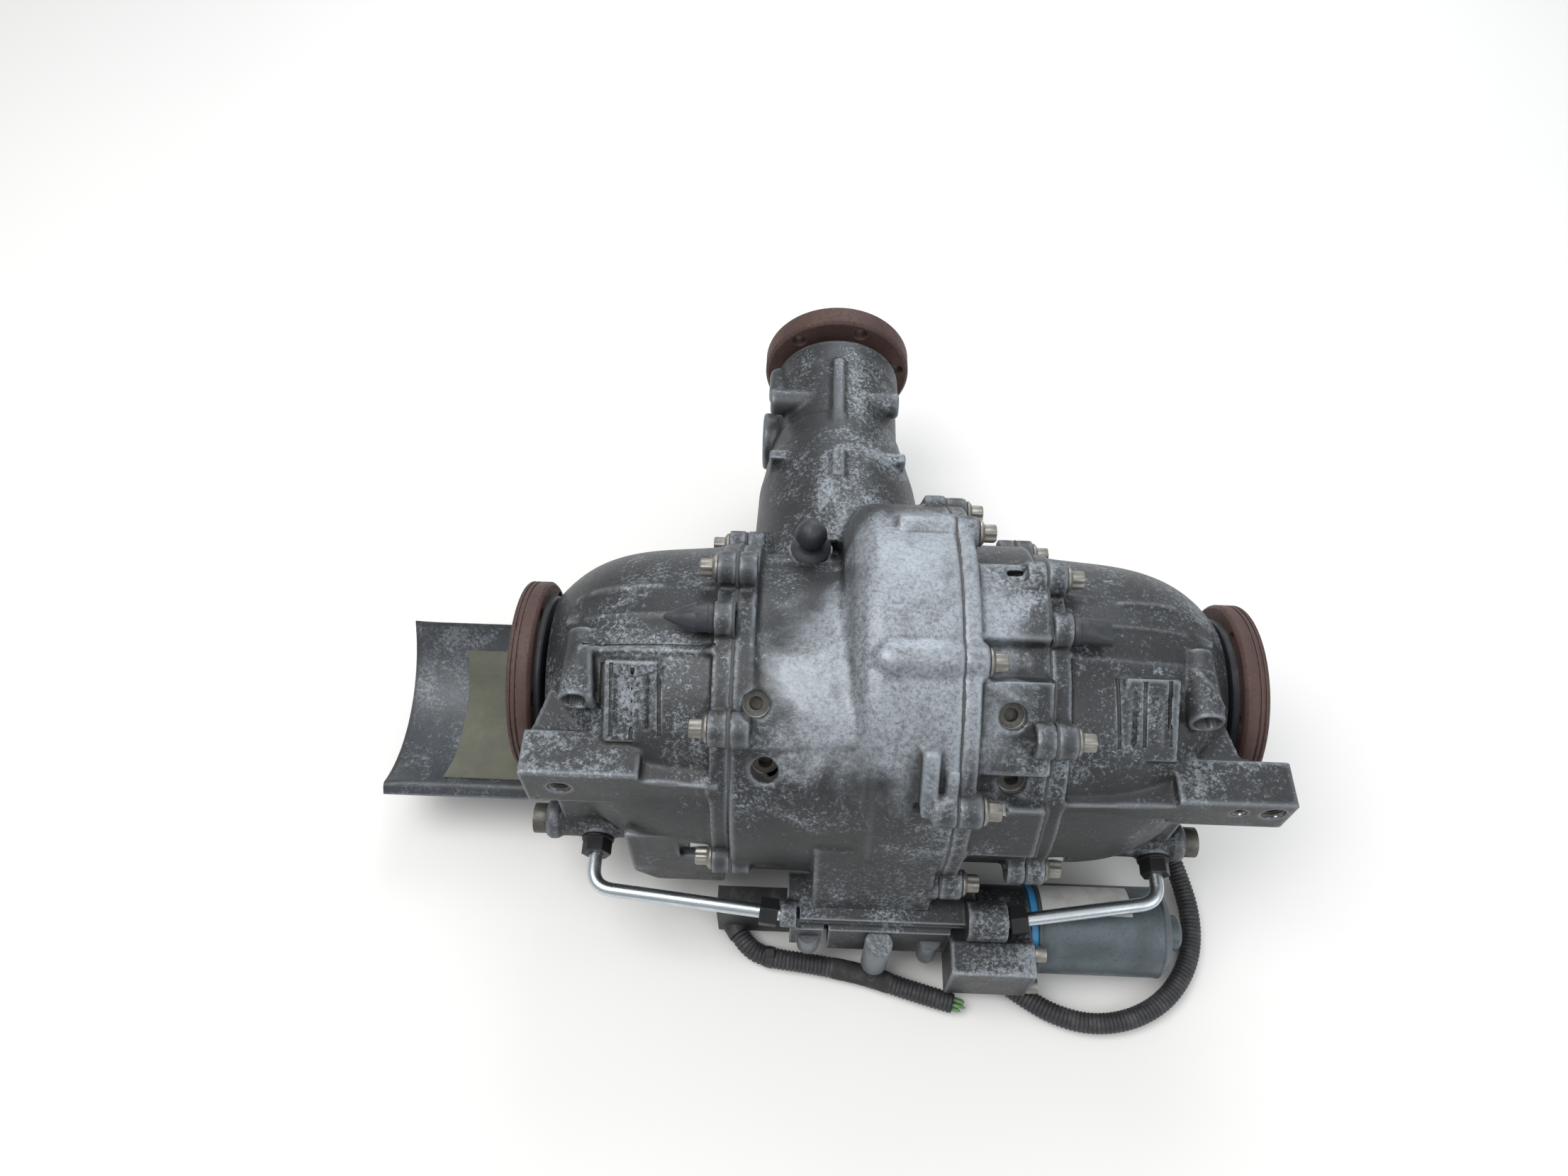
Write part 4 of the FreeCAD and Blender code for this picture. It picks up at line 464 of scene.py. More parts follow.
def brick(bm, low, high):
    """Box between two corners in metres."""
    xs, ys, zs = zip(low, high)
    verts = [bm.verts.new((x, y, z)) for x in xs for y in ys for z in zs]
    for a, b, c, e in ((0, 1, 3, 2), (4, 6, 7, 5), (0, 4, 5, 1), (2, 3, 7, 6), (0, 2, 6, 4), (1, 5, 7, 3)):
        bm.faces.new((verts[a], verts[b], verts[c], verts[e]))


def settled(piece):
    """The mesh of a piece with its modifiers applied."""
    return bpy.data.meshes.new_from_object(piece.evaluated_get(bpy.context.evaluated_depsgraph_get()))


def resample(points, step):
    """Points at equal steps along a polyline, in metres."""
    marks = [0.0]
    for a, b in zip(points, points[1:]):
        marks.append(marks[-1] + (b - a).length)
    count = max(2, round(marks[-1] / step))
    out = []
    j = 0
    for i in range(count + 1):
        goal = marks[-1] * i / count
        while j < len(marks) - 2 and marks[j + 1] < goal:
            j += 1
        share = (goal - marks[j]) / max(1e-9, marks[j + 1] - marks[j])
        out.append(points[j].lerp(points[j + 1], min(1.0, share)))
    return out


def rounded_path(points, radius, steps=10):
    """Straight runs joined by arcs of one radius, for the rigid pipes."""
    out = [points[0]]
    for before, corner, after in zip(points, points[1:], points[2:]):
        into, away = (corner - before).normalized(), (after - corner).normalized()
        setback = radius * math.tan(into.angle(away) / 2)
        first, last = corner - into * setback, corner + away * setback
        for i in range(steps + 1):
            t = i / steps
            out.append(first.lerp(corner, t).lerp(corner.lerp(last, t), t))
    out.append(points[-1])
    return out


# Castings: each CAD body remeshed and softened to cast edges, with its holes and seats cut again

SKIN_REACH, RIDGE_SINK, GROOVE_RISE = 160, 0.3, 0.35


def cutter(holes, cuts):
    """One mesh of the holes, (start, direction, depth, radius), and the grooves, (path, radius)."""
    bm = bmesh.new()
    for path, radius in cuts:
        sweep(bm, path, [radius] * len(path), 12, index=1)
    for start, direction, depth, radius in holes:
        turned(bm, start, direction, [(0, radius), (depth, radius)], 40)
    return mesh_of(bm, "cutter")


def skin_path(tree, points, lift, steps=12):
    """Points on a casting's skin through (x, angle) pairs, lifted in mm along the ray from the axle."""
    stations = []
    for (x, angle), (next_x, next_angle) in zip(points, points[1:]):
        for i in range(steps):
            share = i / steps
            stations.append((x + (next_x - x) * share, angle + (next_angle - angle) * share))
    path = []
    for x, angle in stations + [points[-1]]:
        outside = at(x, *polar(SKIN_REACH, angle))
        inward = (at(x, 0, 0) - outside).normalized()
        hit = tree.ray_cast(outside, inward)[0]
        if hit:
            path.append(hit - inward * lift * MM)
    return path


def casting(node, voxel, rounds, holes, ridges=(), grooves=()):
    """Ridges are fused before the remesh and grooves cut after it: each is (points, radius)."""
    source = NODES[node].data.copy()
    bm = bmesh.new()
    bm.from_mesh(source)
    bmesh.ops.remove_doubles(bm, verts=bm.verts, dist=WELD)
    tree = BVHTree.FromBMesh(bm)
    for points, radius in ridges:
        path = skin_path(tree, points, -RIDGE_SINK * radius)
        bead = bmesh.new()
        sweep(bead, path, [radius] * len(path), 14)
        bm.from_mesh(mesh_of(bead, "ridge"))
    cuts = [(skin_path(tree, points, GROOVE_RISE * radius), radius) for points, radius in grooves]
    bm.to_mesh(source)
    bm.free()
    piece = linked("rough_" + node, source)
    remesh = piece.modifiers.new("voxels", "REMESH")
    remesh.mode = "VOXEL"
    remesh.voxel_size = voxel * 1.0 * MM
    soften = piece.modifiers.new("soften", "SMOOTH")
    soften.factor = 0.5
    soften.iterations = rounds
    tool = linked("cutter", cutter(holes, cuts))
    tool.data.materials.append(MACHINED)
    tool.data.materials.append(MATERIALS["cast_aluminium"])
    source.materials.clear()
    source.materials.append(MATERIALS["cast_aluminium"])
    bore = piece.modifiers.new("bores", "BOOLEAN")
    bore.operation = "DIFFERENCE"
    bore.solver = "MANIFOLD"
    bore.object = tool
    bore.material_mode = "TRANSFER"
    mesh = settled(piece)
    bpy.data.objects.remove(piece)
    bpy.data.objects.remove(tool)
    if not mesh.polygons:
        raise RuntimeError(node + " came out empty")
    turned_slots = {i for i, material in enumerate(mesh.materials) if material == MACHINED}
    indices = [int(p.material_index in turned_slots) for p in mesh.polygons]
    result = add("casting_" + node, mesh, [MATERIALS["cast_aluminium"], MACHINED], smooth=42)
    for polygon, number in zip(result.data.polygons, indices):
        polygon.material_index = number
    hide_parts(node)


SEAT_SINK, SEAT_DEPTH, SEAT_RADIUS = 0.25, 14.5, 9.1
PARTINGS = {LEFT: LEFT_PARTING, RIGHT: RIGHT_PARTING}


def seat_holes(parting, boss, out, bolts):
    """Spot faces round the bolt heads."""
    x = (parting + boss - SEAT_SINK) * out
    return [(at(x, *polar(*place)), X * out, SEAT_DEPTH, SEAT_RADIUS) for place in bolts]


# Fill plugs by x and the direction of y and z; their bores start at a distance from the axle
LEFT_PLUGS, LEFT_PLUG_SEAT = ((-75, -60, 83), (-69, -88, 57)), 94
RIGHT_PLUGS, RIGHT_PLUG_SEAT = ((66, -63, 86), (69, -91, 56)), 99
PLUG_BORE, PLUG_BORE_RUN = 7.6, 20


def plug_holes(plugs, seat):
    """Round bores over the fill plugs, along the rays from the axle."""
    holes = []
    for x, y, z in plugs:
        out = Vector((0, y, z)).normalized()
        holes.append((at(x, *(out * seat)[1:]), out, PLUG_BORE_RUN, PLUG_BORE))
    return holes


EAR_Z, EAR_FACE, EAR_BORE, EAR_BORE_X = 38, 94, 6.5, {LEFT: 186, RIGHT: 218.5}
DOWEL_X, DOWEL_BORE = 199, 4.25
POST_X, POST_Z, POST_MOUTH, POST_BORE = 177, 72, 56, 7.5
SHAFT_MOUTH, SHAFT_ROOM = 194, 40
EAR_DEPTH, POST_DEPTH, SHAFT_DEPTH, PROUD = 30, 32, 30, 2


def cover_holes(side):
    """Post mouth, ear bores, shaft room and bolt seats of a side cover; bores start proud of the face."""
    holes = [(at(POST_X * side, -POST_MOUTH - PROUD, POST_Z), Y, POST_DEPTH, POST_BORE),
             (at(EAR_BORE_X[side] * side, -EAR_FACE - PROUD, EAR_Z), Y, EAR_DEPTH, EAR_BORE),
             (at(SHAFT_MOUTH * side, 0, 0), X * side, SHAFT_DEPTH, SHAFT_ROOM)]
    if side == RIGHT:
        holes.append((at(DOWEL_X, -EAR_FACE - PROUD, EAR_Z), Y, EAR_DEPTH, DOWEL_BORE))
    return holes + seat_holes(PARTINGS[side], BOLT_BOSS, side, SIDE_BOLTS)


# Ridges and grooves of the covers, read from the photograph: (x, angle) points and a radius
LEFT_RIDGES = ((((-99, 108.8), (-178, 108.1)), 2.4), (((-172, 109), (-170, 119), (-168, 130)), 2.6),
               (((-133, 80), (-176, 79)), 2.4), (((-120, 94), (-178, 93)), 1.6),
               (((-101, 124), (-101, 160)), 2.0))
LEFT_GROOVES = ((((-156.8, 114), (-156.3, 139)), 1.3), (((-144.8, 115.6), (-145, 140)), 1.3),
                (((-130.3, 114), (-128.8, 138)), 1.3), (((-99, 106.8), (-176, 106.4)), 0.8),
                (((-163, 113), (-162.5, 131)), 2.6))
RIGHT_RIDGES = ((((99, 105.8), (140, 106.7), (168, 106.1), (175, 110), (187, 123)), 1.5),
                (((133, 81), (168, 78)), 2.2), (((112, 93), (172, 92)), 1.6))
RIGHT_GROOVES = ((((126.1, 113), (127.8, 137)), 1.3), (((141, 114), (142.2, 136.4)), 1.3),
                 (((155, 113.5), (156.4, 135.8)), 1.3))


# Holes as (start, direction, depth, radius)
NOSE_HOLES = [(at(-AXLE_OFFSET + (reach + 1) * side, 214, 32), -X * side, 21, 5.0)
              for side, reach in ((LEFT, 49), (RIGHT, 44))]
PIPE_PORTS = [(at(-60, -133, -50), X, 10, 4.4), (at(82, -133, -50), -X, 12, 4.4)]
PUMP_SCREW_SEATS = [(at(101, -147, -66), -X, 3, 5.6), (at(101, -157.5, -99), -X, 3, 5.6)]


def castings():
    """Each casting with its voxel size in mm and its rounds of smoothing."""
    casting("main_housing", 1.7, 5, NOSE_HOLES + plug_holes(LEFT_PLUGS, LEFT_PLUG_SEAT))
    casting("intermediate_housing", 1.7, 5, seat_holes(CENTRE_PARTING, JOINT_BOSS, RIGHT, CENTRE_BOLTS)
            + plug_holes(RIGHT_PLUGS, RIGHT_PLUG_SEAT))
    casting("left_side_cover", 1.4, 4, cover_holes(LEFT), LEFT_RIDGES, LEFT_GROOVES)
    casting("right_side_cover", 1.4, 4, cover_holes(RIGHT), RIGHT_RIDGES, RIGHT_GROOVES)
    casting("oil_manifold", 1.0, 3, PIPE_PORTS)
    casting("pump_block", 1.2, 4, PUMP_SCREW_SEATS)


# Hard pieces kept from the CAD, with broken edges

def broken_edges(node, width):
    """Gives the edges of a CAD node a small bevel."""
    piece = NODES[node]
    weld = piece.modifiers.new("weld", "WELD")
    weld.merge_threshold = 2 * WELD
    bevel = piece.modifiers.new("bevel", "BEVEL")
    bevel.width = width * MM
    bevel.segments = 2
    bevel.limit_method = "ANGLE"
    bevel.angle_limit = math.radians(38)


def dress_nodes():
    """Every CAD node gets its slot's material, and the hard ones broken edges."""
    slots = {part["node"]: part["material_slot"] for part in frame["record"]["subparts"]}
    for name, piece in NODES.items():
        piece.data.materials.clear()
        piece.data.materials.append(MATERIALS[slots[name]])
    for name in ("input_flange", "left_output_flange", "right_output_flange", "pinion_nut", "pipe_nuts",
                 "gallery_plugs", "fill_plugs", "unit_bolts", "shield_screws", "motor_can"):
        broken_edges(name, 0.5)
    broken_edges("wiring_plugs", 0.9)
    broken_edges("solenoid_valves", 0.8)


# Bolts: profiles are (distance, radius), and the numbers of the rusted ones are listed

BOLT_SHANK, BOLT_FLANGE = [(0, 3.9), (8, 3.9)], [(0, 7.7), (0.3, 8.0), (1.3, 8.0), (2.6, 6.6), (3.0, 5.9)]
BOLT_HEAD = [(0, 5.3), (6.6, 5.3), (7.4, 4.9), (7.7, 4.3), (7.7, 3.2), (6.9, 2.6), (6.9, 0.4)]
HEAD_FOOT = 2.6
RUSTED_SIDE_BOLTS, RUSTED_CENTRE_BOLTS = {(LEFT, 1), (LEFT, 0), (RIGHT, 4)}, {0, 7}


def star_bolt(bm, seat, out, rusted_through):
    """Flanged bolt with a six-lobed head."""
    index = int(rusted_through)
    turned(bm, seat - out * BOLT_SHANK[-1][0] * MM, out, BOLT_SHANK, 16, index=index)
    turned(bm, seat, out, BOLT_FLANGE, 36, index=index)

    def lobes(number, turn):
        return 1.0 + 0.085 * math.cos(6 * turn) if number < 4 else 1.0

    turned(bm, seat + out * HEAD_FOOT * MM, out, BOLT_HEAD, 48, lobes, index)


def bolts():
    looks = [MATERIALS["bolt_steel"], RUSTED_BOLT]
    bm = bmesh.new()
    for side in (LEFT, RIGHT):
        for number, place in enumerate(SIDE_BOLTS):
            seat = at((PARTINGS[side] + BOLT_BOSS) * side, *polar(*place))
            star_bolt(bm, seat, X * side, (side, number) in RUSTED_SIDE_BOLTS)
    piece = add("side_star_bolts", mesh_of(bm, "side_star_bolts"), looks)
    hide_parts("side_cover_bolts")
    bm = bmesh.new()
    for number, place in enumerate(CENTRE_BOLTS):
        star_bolt(bm, at(CENTRE_PARTING + JOINT_BOSS, *polar(*place)), X, number in RUSTED_CENTRE_BOLTS)
    piece = add("centre_star_bolts", mesh_of(bm, "centre_star_bolts"), looks)
    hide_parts("centre_flange_bolts")


# Breather caps: profiles are (distance, radius)

CENTRE_CAP = [(0, 9), (1.5, 11.5), (3.5, 12.6), (5, 11.6), (6.4, 9), (8.4, 7.4), (10.5, 7.3), (12.5, 8.6),
              (15, 9.3), (19, 9.2), (22.5, 8.3), (25, 6.4), (26.6, 3.8), (27.4, 1.2), (27.5, 0.2)]
LEFT_CAP = [(0, 8.2), (0.4, 8.6), (3, 8.7), (3.4, 8.2), (9.6, 8.2), (10, 8.6), (12, 8.4), (17, 6.4), (22, 4.3),
            (27, 2.0), (28.6, 1.0), (29, 0.2)]
RIGHT_CAP = [(0, 8.2), (0.4, 8.6), (3.6, 8.6), (4, 7.7), (8, 7.5)]
RIGHT_CAP_FLATTENED = ((7, 0.0), (10, 0.1), (14, 0.45), (18, 0.75), (21, 0.9), (22, 0.95))
SIDE_CAP_Y, SIDE_CAP_Z, SIDE_CAP_RADIUS = -15, 100, 7.5
LEFT_CAP_BASE, RIGHT_CAP_BASE = -100, RIGHT_PARTING + 11


def breathers():
    bm = bmesh.new()
    turned(bm, at(-47, 58, 66), Z, CENTRE_CAP, 48,
           lambda number, turn: 1.0 + (0.05 if number > 6 else 0.0) * math.cos(4 * turn))
    piece = add("centre_cap", mesh_of(bm, "centre_cap"), MATERIALS["black_rubber"], smooth=60)
    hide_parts("centre_breather")

    def pinch(number, turn):
        return 1.0 - 0.06 * max(0.0, math.cos(4 * turn)) ** 6 * (number > 4)

    bm = bmesh.new()
    turned(bm, at(LEFT_CAP_BASE, SIDE_CAP_Y, SIDE_CAP_Z), -X, LEFT_CAP, 64, pinch)
    piece = add("left_cap", mesh_of(bm, "left_cap"), MATERIALS["black_rubber"], smooth=50)
    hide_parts("left_breather")
    bm = bmesh.new()
    turned(bm, at(RIGHT_CAP_BASE, SIDE_CAP_Y, SIDE_CAP_Z), X, RIGHT_CAP, 48)
    rings = []
    for distance, flat in RIGHT_CAP_FLATTENED:
        ring = []
        for i in range(48):
            turn = 2 * math.pi * i / 48
            wide, high = math.cos(turn), math.sin(turn)
            wide = math.copysign(abs(wide) ** (1 - 0.55 * flat), wide) * (SIDE_CAP_RADIUS + 0.3 * flat)
            high = math.copysign(abs(high) ** (1 - 0.2 * flat), high) * (SIDE_CAP_RADIUS - 3.6 * flat)
            ring.append(at(RIGHT_CAP_BASE + distance, SIDE_CAP_Y + wide, SIDE_CAP_Z + high - 1.2 * flat))
        rings.append(ring)
    skin(bm, rings)
    piece = add("right_cap", mesh_of(bm, "right_cap"), MATERIALS["black_rubber"], smooth=50)
    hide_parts("right_breather")


# Oil pipes

PIPE_ROUTES = (("left", (-175, -90, -47), (-175, -122, -47), (-58, -133, -50)),
               ("right", (175, -90, -47), (175, -118, -47), (80, -133, -50)))
PIPE_RADIUS, PIPE_BEND, PIPE_STEP = 4.3, 14, 1.5


def oil_pipes():
    for side, port, corner, end in PIPE_ROUTES:
        path = rounded_path([at(*port), at(*corner), at(*end)], PIPE_BEND * MM)
        path = resample(path, PIPE_STEP * MM)
        bm = bmesh.new()
        sweep(bm, path, [PIPE_RADIUS] * len(path), 28)
        piece = add(side + "_bright_pipe", mesh_of(bm, "pipe"), MATERIALS["plated_pipe"],
                    smooth=60)
        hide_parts(side + "_oil_pipe")


# Heat shield

SHIELD_LEFT, SHIELD_RIGHT, SHIELD_RADIUS, SHIELD_SHEET = 326, 182, 80, 1.6
SHIELD_FRONT, SHIELD_REAR, SHIELD_LIP, SHIELD_ARC = -36, -128, 9, 0.86
SHIELD_FLARE_X, SHIELD_FLARE_RUN, SHIELD_FLARE = 306, 20, 1.4
PAD_RIGHT, PAD_LENGTH, PAD_FRONT, PAD_TURN, PAD_THICKNESS = 208, 80, -50, 74, 2.8


def shield_point(x, share, lift):
    """A point on the shield: share 0 at the front edge, SHIELD_ARC at the rear bend, 1 at the lip's tip."""
    flare = max(0.0, (-x - SHIELD_FLARE_X) / SHIELD_FLARE_RUN) ** 2 * SHIELD_FLARE
    if share < SHIELD_ARC:
        angle = SHIELD_FRONT + (SHIELD_REAR - SHIELD_FRONT) * share / SHIELD_ARC
        return at(x, *polar(SHIELD_RADIUS + lift + flare, angle))
    curl = (share - SHIELD_ARC) / (1 - SHIELD_ARC)
    angle = SHIELD_REAR - 3.5 * (curl if curl < 0.4 else 0.4 + (curl - 0.4) * 0.2)
    radius = SHIELD_RADIUS + lift * (1 - 0.4 * curl) + flare * (1 - curl) + SHIELD_LIP * curl ** 1.25
    y, z = polar(radius, angle)
    return at(x, y + lift * curl * 0.2, z + lift * curl * 0.3)


def heat_shield():
    columns, rows = 64, 56
    layers = []
    for lift in (0.15, SHIELD_SHEET - 0.15):
        grid = []
        for i in range(columns + 1):
            x = -SHIELD_RIGHT - (SHIELD_LEFT - SHIELD_RIGHT) * i / columns
            dent = 0.35 * math.sin(x * 0.11) * math.sin(i * 0.7)
            grid.append([shield_point(x, j / rows, lift + 0.25 * dent * (0 < i < columns))
                         for j in range(rows + 1)])
        layers.append(grid)
    piece = add("pressed_shield", mesh_of(sheet(layers), "pressed_shield"), MATERIALS["shield_aluminium"],
                smooth=50)
    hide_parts("heat_shield")
    columns, rows = 36, 36
    layers = []
    for depth in (0.0, PAD_THICKNESS):
        grid = []
        for i in range(columns + 1):
            x = -PAD_RIGHT - PAD_LENGTH * i / columns
            row = []
            for j in range(rows + 1):
                edge = min(i, columns - i, j, rows - j) / 2
                puff = depth * min(1.0, 0.25 + edge * 0.55) if depth else 0.0
                slant = 3 * math.sin(j / rows * math.pi) * (i == columns)
                quilt = 0.12 * math.sin(i * 1.7 + j * 0.9) * (depth > 0)
                y, z = polar(SHIELD_RADIUS - 0.1 - puff - quilt, PAD_FRONT - PAD_TURN * j / rows)
                row.append(at(x + slant, y, z))
            grid.append(row)
        layers.append(grid)
    piece = add("shield_blanket", mesh_of(sheet(layers), "shield_blanket"), MATERIALS["shield_pad"],
                smooth=60)
    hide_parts("heat_shield_pad")


# Sealant squeezed out along the parting faces

def outline_at(node, x):
    """Ordered outer outline of a CAD node where a plane of constant x cuts it."""
    bm = bmesh.new()
    bm.from_mesh(NODES[node].data)
    bmesh.ops.remove_doubles(bm, verts=bm.verts, dist=WELD)
    cut = bmesh.ops.bisect_plane(bm, geom=bm.verts[:] + bm.edges[:] + bm.faces[:], plane_co=at(x, 0, 0),
                                 plane_no=X, clear_inner=True, clear_outer=True)
    edges = [e for e in cut["geom_cut"] if isinstance(e, bmesh.types.BMEdge)]
    links = {}
    for edge in edges:
        a, b = edge.verts
        links.setdefault(a, []).append(b)
        links.setdefault(b, []).append(a)
    loops = []
    seen = set()
    for start in links:
        if start in seen:
            continue
        loop, here, before = [], start, None
        while here is not None and here not in seen:
            seen.add(here)
            loop.append(here.co.copy())
            following = [v for v in links[here] if v is not before and v not in seen]
            before, here = here, following[0] if following else None
        loops.append(loop)
    bm.free()
    centre = at(x, 0, 0)
    return max(loops, key=lambda loop: max((p - centre).length for p in loop))


# Piece, the CAD node whose outline it follows, where that is cut, and the parting plane
SEALANT_LINES = (("left_sealant", "left_side_cover", -LEFT_PARTING - 3, -LEFT_PARTING),
                 ("centre_sealant", "intermediate_housing", CENTRE_PARTING + 3, CENTRE_PARTING),
                 ("right_sealant", "intermediate_housing", RIGHT_PARTING - 3, RIGHT_PARTING))
SEALANT_STEP, SEALANT_INSET, SEALANT_RADIUS = 1.6, 1.3, 0.9


def sealant():
    for name, node, section, plane in SEALANT_LINES:
        loop = outline_at(node, section)
        loop = resample(loop + [loop[0]], SEALANT_STEP * MM)
        rim = []
        for point in loop:
            inward = (at(section, 0, 0) - point).normalized()
            rim.append(Vector((at(plane, 0, 0).x, point.y, point.z)) + inward * SEALANT_INSET * MM)
        radii = []
        swell = SEALANT_RADIUS
        for _ in rim:
            swell += random.uniform(-0.16, 0.16)
            swell = min(1.5, max(0.55, swell))
            radii.append(swell)
        radii[-1] = radii[0]
        bm = bmesh.new()
        sweep(bm, rim, radii, 8)
        add(name, mesh_of(bm, name), SEALANT, smooth=80)


# Threads in the mounting holes

THREAD_LENGTH, THREAD_PITCH, THREAD_HEIGHT, THREAD_START = 24, 1.5, 0.8, 2


def threads():
    bm = bmesh.new()
    for x, radius in ((-EAR_BORE_X[LEFT], 6.45), (EAR_BORE_X[RIGHT], 6.45), (DOWEL_X, 4.2)):
        profile = []
        for i in range(int(THREAD_LENGTH / THREAD_PITCH)):
            profile += [(-THREAD_START - i * THREAD_PITCH, radius),
                        (-THREAD_START - (i + 0.5) * THREAD_PITCH, radius - THREAD_HEIGHT)]
        turned(bm, at(x, -EAR_FACE, EAR_Z), -Y, profile, 32, caps=False)
    add("hole_threads", mesh_of(bm, "hole_threads"), MATERIALS["plug_steel"], smooth=20)


# Motor dressing

MOTOR_Y, MOTOR_Z, MOTOR_RADIUS = -123, -90, 28
PLATE_X, PLATE_LENGTH, PLATE_ANGLE, PLATE_TURN = 106, 56, 40, 50
# Where each bead starts, its (distance, radius) profile and its segments
MOTOR_BEADS = ((103.2, [(0, 28.2), (0.4, 28.8), (2.2, 28.8), (2.8, 28.2), (2.8, 27), (0, 27)], 72),
               (181, [(0, 27.6), (0.6, 28.35), (1.8, 28.35), (2.4, 27.6)], 72),
               (188, [(0, 11.2), (0.3, 11.8), (1.6, 11.8), (2.0, 11.2)], 48))


def motor_dressing():
    columns, rows = 20, 24
    layers = []
    for lift in (0.05, 0.45):
        grid = []
        for i in range(columns + 1):
            row = []
            for j in range(rows + 1):
                y, z = polar(MOTOR_RADIUS + lift, PLATE_ANGLE + PLATE_TURN * j / rows)
                row.append(at(PLATE_X + PLATE_LENGTH * i / columns, MOTOR_Y + y, MOTOR_Z + z))
            grid.append(row)
        layers.append(grid)
    add("motor_plate", mesh_of(sheet(layers), "motor_plate"), BARE_PLATE)
    bm = bmesh.new()
    for x, profile, segments in MOTOR_BEADS:
        turned(bm, at(0, MOTOR_Y, MOTOR_Z) + X * x * MM, X, profile, segments)
    add("motor_beads", mesh_of(bm, "motor_beads"), MATERIALS["motor_paint"])


# Wiring

LOOP_ROUTE = ((190, -40, -72), (190, -40, -88), (201, -54, -100), (212, -78, -110), (216.5, -104, -112),
              (212.5, -129, -112), (202, -148, -112), (187, -163, -112), (166, -173.5, -112), (142, -177, -112),
              (119, -172, -112), (100, -161.5, -112), (84, -150.5, -112))
TRUNK_ROUTE = ((-84.5, -128.4, -112), (-78.4, -137.6, -112), (-64, -143, -112), (-38, -145.5, -112),
               (-2, -151, -112), (26, -160, -112), (54, -167, -112))
CONDUIT_RADIUS, CONDUIT_WAVE, CONDUIT_STEP = 6.5, (5.7, 6.35, 6.5, 6.35), 0.65
STRETCH_STEP = 0.8
TAPE_RADIUS, TAPE_LAP, TAPE_LAP_STEPS = 6.55, 0.2, 9
TIE_SHARE, TIE_RADIUS = 0.035, 6.85
TIE_HEAD = Vector((-2.6, -2.4, 5.6)), Vector((2.6, 2.4, 9.4))
WIRE_COUNT, WIRE_RADIUS, WIRE_SPREAD, WIRE_DEPTH = 7, 1.25, 3.3, 4
CORE_LENGTH, CORE_RADII = 1.2, [0.7, 0.6]


def spline_path(route, name):
    """Centreline of a free cord: a smooth spline with the route's points as its control points."""
    curve = bpy.data.curves.new(name, "CURVE")
    curve.dimensions = "3D"
    spline = curve.splines.new("NURBS")
    spline.points.add(len(route) - 1)
    for control, point in zip(spline.points, route):
        control.co = (*at(*point), 1.0)
    spline.order_u = 3
    spline.use_endpoint_u = True
    spline.resolution_u = 24
    guide = linked(name, curve)
    mesh = bpy.data.meshes.new_from_object(guide)
    points = [v.co.copy() for v in mesh.vertices]
    bpy.data.objects.remove(guide)
    bpy.data.meshes.remove(mesh)
    return points


def corrugated(name, path):
    """Ribbed conduit along a path."""
    rings = resample(path, CONDUIT_STEP * MM)
    radii = [CONDUIT_WAVE[i % len(CONDUIT_WAVE)] for i in range(len(rings))]
    bm = bmesh.new()
    sweep(bm, rings, radii, 24)
    return add(name, mesh_of(bm, name), MATERIALS["conduit_plastic"], smooth=50), rings


def part_of(path, first, last):
    """The stretch of a path between two shares of its length."""
    even = resample(path, STRETCH_STEP * MM)
    return even[int(first * (len(even) - 1)):int(last * (len(even) - 1)) + 1]


def tape(name, path, first, last):
    """Cloth tape wound over a stretch of conduit."""
    stretch = part_of(path, first, last)
    bm = bmesh.new()
    radii = [TAPE_RADIUS + TAPE_LAP * ((i % TAPE_LAP_STEPS) / TAPE_LAP_STEPS) for i in range(len(stretch))]
    radii[0] = radii[-1] = 6.4
    sweep(bm, stretch, radii, 28)
    return add(name, mesh_of(bm, name), TAPE, smooth=25)


def strap(name, path, share):
    """Plastic tie round the conduit with its square head."""
    stretch = part_of(path, share, share + TIE_SHARE)
    bm = bmesh.new()
    sweep(bm, stretch, [TIE_RADIUS] * len(stretch), 32)
    middle = stretch[len(stretch) // 2]
    low, high = TIE_HEAD
    brick(bm, middle + low * MM, middle + high * MM)
    return add(name, mesh_of(bm, name), MATERIALS["black_plastic"], smooth=30)


def cut_wires(path):
    """Ends of the wires where the trunk was cut: a ring of six and one in the middle."""
    tip, before = path[-1], path[-6]
    direction = (tip - before).normalized()
    side, up = frame_of(direction)
    bm = bmesh.new()
    last = WIRE_COUNT - 1
    for number in range(WIRE_COUNT):
        outward = spoke(side, up, 2 * math.pi * number / last)
        spread = 0.0 if number == last else WIRE_SPREAD
        base = tip - direction * WIRE_DEPTH * MM + outward * spread * MM
        lean = outward * random.uniform(-0.05, 0.18) + direction
        reach = random.uniform(8, 12)
        line = [base + lean * reach * MM * t / 4 for t in range(5)]
        sweep(bm, line, [WIRE_RADIUS] * len(line), 12, index=number % len(WIRE_COLOURS))
        core = [line[-1], line[-1] + lean.normalized() * CORE_LENGTH * MM]
        sweep(bm, core, CORE_RADII, 8, index=len(WIRE_COLOURS))
    return add("cut_wires", mesh_of(bm, "cut_wires"), WIRE_COLOURS + [COPPER])


def wiring():
    path = spline_path(LOOP_ROUTE, "loop_line")
    loop, rings = corrugated("loop_conduit", path)
    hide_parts("wiring_loop")
    path = spline_path(TRUNK_ROUTE, "trunk_line")
    trunk, rings = corrugated("trunk_conduit", path)
    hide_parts("wiring_trunk")
    extras = [tape("trunk_tape", path, 0.46, 0.72), strap("first_tie", path, 0.16),
              strap("second_tie", path, 0.62), cut_wires(path)]


# Studio

